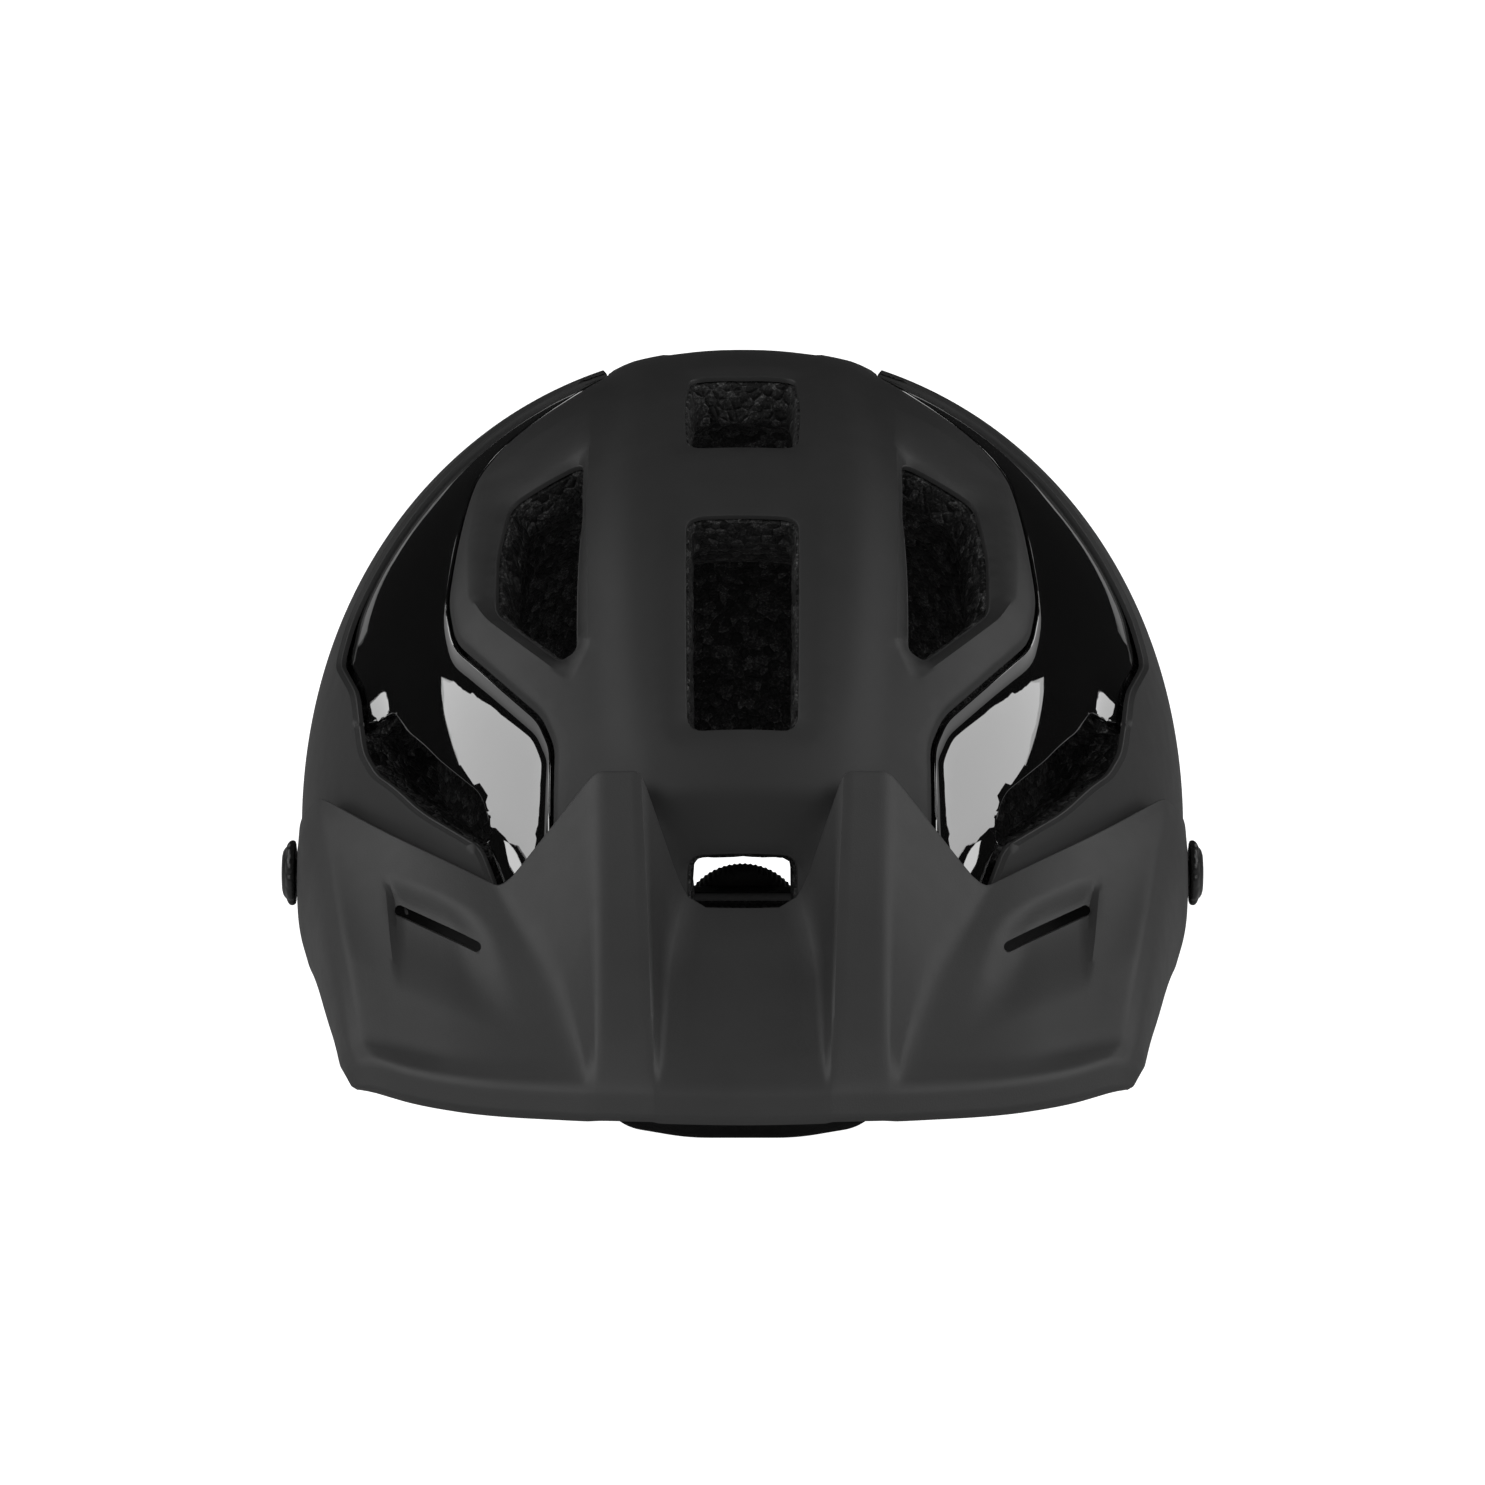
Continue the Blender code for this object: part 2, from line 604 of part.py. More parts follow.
def visor_sheet():
    """The visor's outer and inner surfaces, both halves, and the faces that join their points."""
    rows = [[(-x, y, z) for x, y, z in reversed(row[1:])] + [tuple(p) for p in row] for row in VISOR_ROWS]
    points = np.array([p for row in rows for p in row], float)
    columns, middle = len(rows[0]), len(rows[0]) // 2
    faces = []
    for a, b, c, d in grid_faces(len(rows), columns):
        left = a % columns >= middle
        faces += [(a, d, b), (b, d, c)] if left else [(a, d, c), (a, c, b)]
    normals = np.zeros_like(points)
    for face in faces:
        corners = points[list(face)]
        normals[list(face)] += np.cross(corners[1] - corners[0], corners[2] - corners[0])
    normals /= np.linalg.norm(normals, axis=1)[:, None]
    if normals[middle][2] < 0:
        normals = -normals
        faces = [f[::-1] for f in faces]
    inner = points - normals * VISOR_THICKNESS
    ear = np.abs(points[:, 0]) > EAR_FACE_X - 1.0
    inner[ear] = points[ear]
    inner[ear, 0] = np.sign(points[ear, 0]) * (EAR_FACE_X - VISOR_THICKNESS)
    return points, inner, faces


def visor(surfaces):
    obj = add_node("visor", *thick_solid(*visor_sheet()), surfaces["shell"], smooth_angle=20.0, origin=PIVOT)
    for side in (-1, 1):
        start = Vector((side * 90.0, PIVOT.y, PIVOT.z))
        profile = [(0.0, SCREW_HOLE_RADIUS), (30.0, SCREW_HOLE_RADIUS)]
        drill = turned("drill", profile, start, (side, 0, 0), surfaces["shell"])
        combine(obj, drill, "DIFFERENCE")
    slot_ends = [Vector((77.0, -116.0, 65.0)), Vector((58.3, -141.5, 66.0))]
    for side in (-1, 1):
        ends = [Vector((side * p.x, p.y, p.z)) for p in slot_ends]
        path = [ends[0] + (ends[0] - ends[1]) * 0.02, ends[1] - (ends[0] - ends[1]) * 0.02]
        cutter = ribbon("cutter", path, lambda _: (0, 0, 1), 2.4, 30.0, surfaces["shell"])
        combine(obj, cutter, "DIFFERENCE")
    return obj


def visor_fittings(surfaces):
    for name, side in (("left", 1), ("right", -1)):
        axis = (side, 0, 0)
        centre = Vector((0.0, PIVOT.y, PIVOT.z))
        bore = SCREW_SHANK_RADIUS + 0.4
        insert = [
            (INSERT_FLOOR_X, bore), (INSERT_FLOOR_X, INSERT_RADIUS), (100.4, INSERT_RADIUS), (100.4, bore),
        ]
        turned(f"visor_insert_{name}", insert, centre, axis, surfaces["metal"], bore=True)
        ring = [(100.8, SCREW_HOLE_RADIUS), (100.8, INSERT_RADIUS), (101.5, INSERT_RADIUS), (101.5, SCREW_HOLE_RADIUS)]
        turned(f"detent_ring_{name}", ring, centre, axis, surfaces["hardware"], bore=True)
        screw = [
            (93.0, SCREW_SHANK_RADIUS), (104.4, SCREW_SHANK_RADIUS), (104.4, 7.4), (106.0, 7.6),
            (106.6, 6.6), (106.6, 4.6), (107.6, 4.2),
        ]
        turned(f"visor_screw_{name}", screw, centre, axis, surfaces["hardware"])


# ---------------------------------------------------------------- pads


def pads(surfaces):
    near, far = 3.6, 9.0
    cloth = surfaces["pad"]
    bearings = [-46 + 92 * k / 10 for k in range(11)]
    patch_on_liner("brow_pad", polar_rows(bearings, (86.0, 91.0, 96.0)), near, far, cloth)
    for name, side in (("left", 1), ("right", -1)):
        rows = [[(side * u, -46.0 + 56.0 * k / 7) for u in (9.5, 13.0, 16.5)] for k in range(8)]
        patch_on_liner(f"crown_pad_{name}", rows, near, far, cloth)
        angles = [side * (70 + 48 * k / 5) for k in range(6)]
        patch_on_liner(f"side_pad_{name}", polar_rows(angles, (56.0, 63.0, 70.0)), near, far, cloth)
    spots = {"brow": (30.0, 91.0), "side": (94.0, 63.0), "crown_front": (17.5, 43.0), "crown_rear": (90.0, 13.0)}
    for where, (bearing, share) in spots.items():
        for name, side in (("left", 1), ("right", -1)):
            turn = side * math.radians(bearing)
            uv = np.array([[math.sin(turn) * share, -math.cos(turn) * share]])
            middle = Vector(surface_at(uv, INNER_FORM, -2.7)[0])
            look = Vector(normals_on(uv, INNER_FORM)[0]).to_track_quat("Z", "Y").to_matrix().to_4x4()
            box(f"hook_patch_{where}_{name}", Matrix.Translation(middle) @ look, (9.0, 9.0, 0.6), surfaces["strap"])


# ---------------------------------------------------------------- rear fit system


def outward_in_plan(point):
    return (point.x, point.y - WIDEST_Y, 0.0)


def rack_outline(start, end):
    """A straight rack seen from behind: distance along X, and height from the pinion's axis. Teeth point down."""
    root, tip, back = PITCH_RADIUS + 1.2, PITCH_RADIUS - 0.6, PITCH_RADIUS + 5.2
    top, base = 0.25, 0.75
    outline = [(start, back), (start, root)]
    first = math.ceil((end + 1.5) / TOOTH_PITCH - 0.5)
    last = math.floor((start - 1.5) / TOOTH_PITCH - 0.5)
    for k in range(last, first - 1, -1):
        middle = (k + 0.5) * TOOTH_PITCH
        outline += [(middle + base, root), (middle + top, tip), (middle - top, tip), (middle - base, root)]
    return outline + [(end, root), (end, back)]


def fit_arms(surfaces):
    """Left and right arms. The left one's rack runs over the pinion, and the right one's under it."""
    height = PITCH_RADIUS + 3.2
    for name, side in (("left", 1), ("right", -1)):
        rack_z = DIAL.z + side * height
        path = [
            (TEMPLE.x, TEMPLE.y - 5, TEMPLE.z), (TEMPLE.x, -33, 50.4), (69, -18, 46.8), (72.5, 8, 38), (71, 32, 26), (64, 57, 11),
            (57.5, 76, 1), (49, 89.5, rack_z + (1 if side > 0 else 5)), (39, 97, rack_z), (30, 99.8, rack_z),
            (20, DIAL.y, rack_z),
        ]
        path = [Vector((side * x, y, z)) for x, y, z in path]
        arm = ribbon(
            f"fit_arm_{name}", smooth_path(path, 26), outward_in_plan, 4.0, 1.6, surfaces["nylon"],
            origin=(side * TEMPLE.x, TEMPLE.y, TEMPLE.z),
        )
        rack = extruded(
            "rack", rack_outline(23.0, -9.0), lambda a, b, y, s=side: (s * a, y, DIAL.z + s * b),
            (DIAL.y - 0.7, DIAL.y + 0.7), surfaces["nylon"],
        )
        combine(arm, rack, "UNION")
        plug = [(TEMPLE.x + 1.4, 6.5), (TEMPLE.x + 2.8, 6.5)]
        turned(f"temple_plug_{name}", plug, (0.0, TEMPLE.y, TEMPLE.z), (side, 0, 0), surfaces["nylon"], count=16)


def cradle(surfaces):
    """The nape cradle: a dished plate with two windows, cut from a flat outline."""
    half = [(32.5, 3), (33, -23.5), (42, -29), (43, -38), (39, -50), (30, -58.5), (14, -61)]
    outline = [(x, z) for x, z in half] + [(-x, z) for x, z in reversed(half)]
    window = fillet([(13, -33), (34, -31), (32, -46), (25, -52), (13, -53)], 4.0)
    windows = [window, mirrored(window)]
    edges = [subdivided(outline, 9.0), *(subdivided(w, 9.0) for w in windows)]
    uv, triangles = triangulate_plate(edges, 9.0)
    middle = uv[triangles].mean(axis=1)
    keep = signed_distance(middle, outline) > 0
    for w in windows:
        keep &= signed_distance(middle, w) < 0
    uv, triangles = used_only(uv, triangles[keep])

    def place(shift):
        x, z = uv[:, 0], uv[:, 1]
        wrap = np.maximum(np.abs(x) - 25.0, 0.0) ** 2 / 70.0
        tuck = (np.maximum(-26.0 - z, 0.0) / 36.0) ** 2 * 8.0
        return np.stack([x, 94.4 - wrap - tuck + shift, z], axis=1)

    points, faces = thick_solid(place(2.0), place(0.0), triangles)
    add_node("nape_cradle", points, outward(points, faces), surfaces["nylon"])
    for name, side in (("left", 1), ("right", -1)):
        rows = [[(side * x, z) for x in (15.0, 24.0, 33.0)] for z in (-12.0, -19.0, -26.0)]
        flat = np.array([p for row in rows for p in row], float)
        pad_faces = grid_faces(3, 3)
        front, back = np.zeros((9, 3)), np.zeros((9, 3))
        wrap = np.maximum(np.abs(flat[:, 0]) - 25.0, 0.0) ** 2 / 70.0
        for target, y in ((front, 86.6), (back, 90.2)):
            target[:, 0], target[:, 1], target[:, 2] = flat[:, 0], y - wrap, flat[:, 1]
        points, faces = thick_solid(front, back, pad_faces)
        add_node(f"nape_pad_{name}", points, outward(points, faces), surfaces["pad"])


def triangulate_plate(outlines, step):
    points, edges = [], []
    for outline in outlines:
        first = len(points)
        points += outline
        edges += [(first + k, first + (k + 1) % len(outline)) for k in range(len(outline))]
    fixed = np.array(points)
    low, high = fixed.min(axis=0), fixed.max(axis=0)
    grid = np.array([(x, z) for x in np.arange(-45, 46, step) for z in np.arange(low[1], high[1], step)])
    away = np.linalg.norm(grid[:, None, :] - fixed[None, :, :], axis=2).min(axis=1)
    inside = signed_distance(grid, outlines[0]) > 0
    grid = grid[(away > 0.6 * step) & inside]
    found, _, faces, *_ = delaunay_2d_cdt([Vector(p) for p in [*map(tuple, fixed), *map(tuple, grid)]], edges, [], 0, 1e-4)
    return np.array([tuple(p) for p in found]), np.array([list(f) for f in faces])


def dial_unit(surfaces):
    cavity_rear, cover = DIAL.y + 2.8, 1.3
    half_width, wall_in, wall_out = 24.0, 10.6, 12.2
    profile = [
        (cavity_rear + cover, wall_out), (97.0, wall_out), (97.0, wall_in), (cavity_rear, wall_in),
        (cavity_rear, -wall_in), (97.0, -wall_in), (97.0, -wall_out), (cavity_rear + cover, -wall_out),
    ]
    housing = extruded(
        "dial_housing", profile, lambda y, z, x: (x, y, DIAL.z + z), (-half_width, half_width), surfaces["nylon"]
    )
    hole = turned("hole", [(0.0, 3.2), (20.0, 3.2)], (0.0, DIAL.y - 2, DIAL.z), (0, 1, 0), surfaces["nylon"], count=16)
    combine(housing, hole, "DIFFERENCE")

    gear = []
    for k in range(PINION_TEETH):
        turn = math.pi / 2 + 2 * math.pi * k / PINION_TEETH
        for shift, radius in ((-0.17, 3.5), (-0.06, 5.2), (0.06, 5.2), (0.17, 3.5)):
            gear.append((radius * math.cos(turn + shift), radius * math.sin(turn + shift)))
    pinion = extruded(
        "dial_pinion", gear, lambda a, b, y: (a, y, DIAL.z + b), (DIAL.y - 2.6, DIAL.y + 2.0), surfaces["nylon"],
        origin=DIAL,
    )
    shaft_base = Vector((0.0, DIAL.y, DIAL.z))
    shaft = turned("shaft", [(0.0, 2.7), (4.4, 2.7)], shaft_base, (0, 1, 0), surfaces["nylon"], count=12)
    combine(pinion, shaft, "UNION")

    grips = 18
    rim = []
    for k in range(grips * 2):
        turn = math.pi * k / grips
        rim.append((turn, KNOB_RADIUS if k % 2 else KNOB_RADIUS - 0.8))
    rings = []
    for y, share in ((4.7, 0.94), (6.0, 1.0), (12.0, 1.0), (13.6, 0.9)):
        rings.append([
            Vector((r * share * math.cos(t), DIAL.y + y, DIAL.z + r * share * math.sin(t))) for t, r in rim
        ])
    add_node("fit_dial", *tube_of(rings), surfaces["rubber"], origin=DIAL)


def hangers(surfaces):
    """Two straps that carry the cradle, sliding in guides on the liner as the fit system tilts."""
    arc = []
    for degrees in (-17.0, -13.0, -9.0, -5.0, -1.0, 2.5, 6.0):
        turn = math.radians(degrees)
        arc.append((TEMPLE.y + HANGER_RADIUS * math.cos(turn), TEMPLE.z + HANGER_RADIUS * math.sin(turn)))
    guide = [
        (-6.4, 4.4), (-6.4, -7.2), (-2.8, -7.2), (-2.8, -6.0), (-5.0, -6.0), (-5.0, 1.4),
        (5.0, 1.4), (5.0, -6.0), (2.8, -6.0), (2.8, -7.2), (6.4, -7.2), (6.4, 4.4),
    ]
    for name, side in (("left", 1), ("right", -1)):
        path = [Vector((side * HANGER_X, y, z)) for y, z in [(93.0, -9.0), (92.8, 0.0), *arc]]
        ribbon(f"hanger_{name}", path, lambda _: (0, 1, 0), 8.0, 1.4, surfaces["nylon"])
        extruded(
            f"hanger_guide_{name}", guide, lambda a, b, z, s=side: (s * HANGER_X + a, 99.1 + b, z), (42.0, 49.0),
            surfaces["nylon"],
        )


# ---------------------------------------------------------------- chin strap


DIVIDER = Vector((76.0, 22.0, -7.5))
DIVIDER_SIZE = (4.6, 26.0, 25.0)
ANCHOR_BEARINGS = {"front": 64.0, "rear": 134.0}
# How far each side strap runs straight down from its anchor, and the way it comes in to the divider.
STRAP_BENDS = {"front": (19.0, (0.0, 15.0, -3.5)), "rear": (15.0, (0.0, -14.0, 3.0))}
BUCKLE_ENDS = (Vector((54.5, 82.5, -33.0)), Vector((70.0, 58.0, -24.5)))
KEEPER_X = -55.0
NAPE_LOOP = [
    (41, 94.8, -37.5), (25, 98.2, -39), (0, 98.8, -40), (-25, 98.2, -39), (-42, 94.2, -36.5), (-56, 79, -30),
    (-68, 58, -24), (-73.2, 47.5, -21.5),
]


def rim_middle(bearing_degrees):
    """A point in the middle of the liner's lower face."""
    turn = math.radians(bearing_degrees)
    uv = np.array([[math.sin(turn) * 100.0, -math.cos(turn) * 100.0]])
    return Vector((on_form(uv, OUTER_FORM)[0] + on_form(uv, INNER_FORM)[0]) / 2)


def hanging_curve(start, leaving, end, arriving, count):
    """count points on a curve that leaves along one vector and arrives along another, with no tight bend."""
    a, b = start + leaving, end - arriving
    made = []
    for k in range(count):
        t = k / (count - 1)
        r = 1.0 - t
        made.append(start * r**3 + a * (3 * r * r * t) + b * (3 * r * t * t) + end * t**3)
    return made


def side_straps(surfaces):
    for name, side in (("left", 1), ("right", -1)):
        flip = Vector((side, 1, 1))
        divider = DIVIDER * flip
        for where, bearing in ANCHOR_BEARINGS.items():
            top = rim_middle(bearing)
            run = (rim_middle(bearing + 3.0) - rim_middle(bearing - 3.0)).normalized()
            aside = Vector(outward_in_plan(top)).normalized()
            down = run.cross(aside).normalized()
            down *= -1 if down.z > 0 else 1
            aside = down.cross(run)
            axes = Matrix((aside * flip, run * flip, down * flip)).transposed().to_4x4()
            plate = Matrix.Translation((top + down * 2.6) * flip) @ axes
            box(f"strap_anchor_{where}_{name}", plate, (6.0, 19.0, 2.4), surfaces["nylon"])
            toward = -1 if where == "front" else 1
            start = top + down * 5.0
            end = DIVIDER + Vector((0, toward * (DIVIDER_SIZE[1] / 2 + 2.6), 4.0))
            leaving, arriving = STRAP_BENDS[where]
            path = [p * flip for p in hanging_curve(start, down * leaving, end, Vector(arriving), 14)]
            ribbon(
                f"strap_{where}_{name}", path, outward_in_plan, STRAP_WIDTH, STRAP_THICKNESS, surfaces["strap"]
            )
        box(f"strap_divider_{name}", Matrix.Translation(divider), DIVIDER_SIZE, surfaces["nylon"])


def buckle_frame():
    """Axes of the buckle: along the strap, out from the head, and across the strap."""
    along = (BUCKLE_ENDS[1] - BUCKLE_ENDS[0]).normalized()
    out = Vector(outward_in_plan((BUCKLE_ENDS[0] + BUCKLE_ENDS[1]) / 2))
    out = (out - along * out.dot(along)).normalized()
    return along, out, out.cross(along).normalized()


def chin_strap(surfaces):
    along, out, across = buckle_frame()
    web = surfaces["strap"]
    loop = [BUCKLE_ENDS[0] - along * 1.0, BUCKLE_ENDS[0] - along * 5.0, *(Vector(p) for p in NAPE_LOOP)]
    path = smooth_path(loop, 40)
    held = min(range(40), key=lambda k: abs(path[k].x - KEEPER_X))
    ribbon("chin_strap_long", path, outward_in_plan, STRAP_WIDTH, STRAP_THICKNESS, web)
    tail = [p + Vector(outward_in_plan(p)).normalized() * 2.1 for p in path[2 : held + 4]]
    ribbon("chin_strap_tail", tail, outward_in_plan, STRAP_WIDTH, STRAP_THICKNESS, web)
    short = [BUCKLE_ENDS[1] + along * 1.0, BUCKLE_ENDS[1] + along * 4.0, Vector((73.8, 47.5, -21.5))]
    ribbon("chin_strap_short", smooth_path(short, 8), outward_in_plan, STRAP_WIDTH, STRAP_THICKNESS, web)

    keeper_at = path[held]
    outer = Vector(outward_in_plan(keeper_at)).normalized()
    run = (path[held + 1] - path[held - 1]).normalized()
    outer = (outer - run * outer.dot(run)).normalized()
    lift = run.cross(outer).normalized()
    turn = Matrix((run, outer, lift)).transposed().to_4x4()
    turn.translation = keeper_at + outer * 0.95
    keeper = box("strap_keeper", turn, (5.0, 7.0, 19.0), surfaces["rubber"])
    combine(keeper, box("slot", turn, (9.0, 4.6, 16.6), surfaces["rubber"]), "DIFFERENCE")

    length = (BUCKLE_ENDS[1] - BUCKLE_ENDS[0]).length
    centre = (BUCKLE_ENDS[0] + BUCKLE_ENDS[1]) / 2

    def placed(a, o, c):
        return centre + along * a + out * o + across * c

    base = [
        (-length / 2, -2.0), (length * 0.28, -2.0), (length * 0.28, 0.6), (2.6, 0.6), (2.6, 2.0), (-2.6, 2.0),
        (-2.6, 0.6), (-length / 2, 0.6),
    ]
    extruded("buckle_base", base, placed, (-9.5, 9.5), surfaces["hardware"])
    tongue = [
        (-length * 0.36, 1.0), (-3.2, 1.0), (-3.2, 2.5), (3.2, 2.5), (3.2, 1.0), (length * 0.34, 1.0),
        (length * 0.34, -1.8), (length / 2, -1.8), (length / 2, 3.4), (length * 0.4, 4.6), (-length * 0.36, 4.6),
    ]
    extruded("buckle_tongue", tongue, placed, (-9.0, 9.0), surfaces["hardware"], origin=centre)


def main():
    clear_scene()
    surfaces = {
        "shell": material("matte_black_shell", (0.035, 0.035, 0.036), 0.55),
        "gloss": material("gloss_black_insert", (0.008, 0.008, 0.008), 0.06),
        "foam": material("black_foam", (0.02, 0.02, 0.02), 0.85),
        "pad": material("black_pad_cloth", (0.02, 0.02, 0.022), 0.95),
        "strap": material("black_webbing", (0.02, 0.02, 0.02), 0.85),
        "nylon": material("black_nylon", (0.03, 0.03, 0.03), 0.5),
        "hardware": material("black_hardware", (0.02, 0.02, 0.02), 0.4),
        "rubber": material("black_rubber", (0.02, 0.02, 0.02), 0.8),
        "metal": material("insert_metal", (0.55, 0.53, 0.5), 0.35, 1.0),
    }
    shell_and_liner(surfaces)
    visor(surfaces)
    visor_fittings(surfaces)
    pads(surfaces)
    fit_arms(surfaces)
    cradle(surfaces)
    dial_unit(surfaces)
    hangers(surfaces)
    side_straps(surfaces)
    chin_strap(surfaces)


main()
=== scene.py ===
"""Looks for a trail-riding cycling helmet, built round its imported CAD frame.

Shapes are made in millimetres in the CAD's own frame (+Z up, -Y forward, +X to the wearer's left) and scaled
by MM. The shell is laid out on a flattened map: a map point (u, v) lies at the same bearing as seen from above,
and its distance from the middle is the percentage of the way from the crown (0) to the rim (100).
"""

import math

import bmesh
import bpy
import numpy as np
from mathutils import Matrix, Quaternion, Vector
from mathutils.geometry import delaunay_2d_cdt


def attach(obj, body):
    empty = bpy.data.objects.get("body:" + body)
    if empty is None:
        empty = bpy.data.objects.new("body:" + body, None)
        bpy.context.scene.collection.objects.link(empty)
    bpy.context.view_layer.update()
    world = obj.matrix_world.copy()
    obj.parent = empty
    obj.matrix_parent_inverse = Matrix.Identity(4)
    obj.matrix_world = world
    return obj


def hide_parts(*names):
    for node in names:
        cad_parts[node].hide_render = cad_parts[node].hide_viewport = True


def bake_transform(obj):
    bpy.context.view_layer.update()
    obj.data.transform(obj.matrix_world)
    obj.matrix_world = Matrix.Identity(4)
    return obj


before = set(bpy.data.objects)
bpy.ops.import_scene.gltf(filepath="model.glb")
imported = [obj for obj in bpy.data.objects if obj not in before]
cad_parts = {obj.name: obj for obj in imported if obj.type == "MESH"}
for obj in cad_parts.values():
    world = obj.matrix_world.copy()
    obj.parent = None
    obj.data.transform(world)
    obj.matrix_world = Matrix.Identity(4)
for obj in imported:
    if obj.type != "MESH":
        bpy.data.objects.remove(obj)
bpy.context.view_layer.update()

MM = 0.001

OUTER_FORM = {"width": 106.0, "front": 146.0, "rear": 134.0, "above": 112.0, "below": 150.0}
INNER_FORM = {"width": 81.0, "front": 118.0, "rear": 104.0, "above": 88.0, "below": 150.0}
WIDEST_Y = 8.0
EQUATOR_Z = 50.0
PLAN_POWER = 2.1
SIDE_POWER = 2.05
RIM_BEARINGS = (0.0, 40.0, 75.0, 105.0, 140.0, 160.0, 180.0)
RIM_HEIGHTS = (46.0, 38.0, 25.0, 22.0, 8.0, 4.0, 12.0)

SHELL_THICKNESS = 1.2
SHELL_EDGE = 97.0
GLOSS_DEPTH, GLOSS_DEPTH_REAR = 6.2, 1.9
GLOSS_RIM, GLOSS_FILLET = -2.7, 4.8
PANEL_SEAM = 0.32
MM_PER_UNIT = 1.75  # of the map, over the outer form

# Triangle meshes: the pitch of their rows, and how far their inner points keep from a line, over their step.
ROW_PITCH = 0.866
KEEP_OFF = 0.55

CROWN_SEAM = [
    (28.6, -90.0), (27.0, -82.0), (25.1, -72.1), (23.3, -61.4), (24.6, -57.3), (31.3, -49.4), (37.8, -42.0),
    (39.4, -34.6), (38.4, -23.4), (37.0, -7.2), (32.8, -0.1), (24.0, 7.0), (15.0, 16.0),
]
SIDE_SEAM = [
    (28.6, -90.0), (33.0, -88.0), (34.3, -75.7), (35.5, -70.2), (45.4, -61.6), (54.7, -50.9), (57.4, -44.8),
    (58.2, -32.0), (63.9, -15.1), (61.0, -7.0), (54.3, -1.4), (44.3, 5.3), (32.2, 12.2), (23.0, 15.0), (15.0, 16.0),
]
FRONT_SEAM_END = (29.2, -92.5)
CROWN_TAIL = [(15.5, 30.0), (13.0, 46.0), (8.0, 57.0), (3.0, 60.2), (0.0, 60.2)]
MIDDLE_VENTS = {
    "front": [(6.0, -62.3), (5.5, -33.5)],
    "top": [(5.4, -20.4), (6.4, -1.6)],
    "brow": [(7.6, -90.0), (6.9, -77.9)],
    "rear": [(5.8, 15.0), (5.2, 38.0)],
}
SIDE_VENTS = {
    "temple": [(20.2, -17.4), (30.6, -19.7), (31.6, -30.0), (31.0, -39.4), (21.6, -49.4), (19.8, -48.6), (18.9, -28.2)],
    "cheek": [
        (59.4, -38.8), (59.3, -45.2), (56.1, -52.1), (46.7, -62.8), (38.6, -69.6), (35.6, -69.6), (37.2, -62.6),
        (44.5, -54.9), (51.2, -46.6), (54.6, -39.6),
    ],
    "rear_side": [(24.0, 29.0), (34.0, 24.0), (45.0, 20.0), (47.0, 29.0), (38.0, 37.0), (25.0, 42.0)],
    "occiput": [(12.0, 68.0), (23.0, 60.0), (27.0, 62.0), (26.0, 69.0), (15.0, 77.0), (11.0, 75.0)],
}
VENT_FILLET = 1.6
# How far each vent opens out inside the liner, on the map, and how far round it the liner's inner face gives way.
VENT_FLARE = {
    "front": 4.6, "top": 4.6, "rear": 4.0, "brow": 1.5, "temple_left": 5.0, "temple_right": 5.0,
    "cheek_left": 3.0, "cheek_right": 3.0,
}
FLARE_REACH = 11.0
# The liner's vent walls: where their rings lie from the outer face to the inner one, and their beads' relief.
WALL_SHARES = (0.06, 0.12, 0.18, 0.24, 0.30, 0.36, 0.42, 0.46, 0.52, 0.6, 0.7, 0.8, 0.9)
BEAD_UNEVENNESS = 0.45

# Creases pressed into the shell, on the left half of the map.
TEMPLE_FRAME = [
    (20.3, -2.9), (17.6, -23.2), (17.0, -38.3), (17.3, -49.5), (19.8, -53.9), (31.5, -41.4), (34.7, -36.4),
    (35.6, -25.4), (34.6, -11.4), (29.4, -6.3),
]
FRONT_FRAME = [(8.6, -64.9), (7.8, -29.2)]
TOP_FRAME = [(7.7, -22.8), (9.4, 1.4)]
BROW_SCOOP = [(13.0, -95.0), (11.4, -70.6)]
REAR_FRAME = [(8.2, 12.6), (7.4, 40.6)]

SIDES = (("left", 1), ("right", -1))
PIVOT = Vector((0.0, -48.0, 54.8))
EAR_FACE_X = 104.0
VISOR_THICKNESS = 2.0
TEMPLE = Vector((66.8, -42.0, 52.0))
DIAL = Vector((0.0, 100.0, -10.5))


# ---------------------------------------------------------------- materials


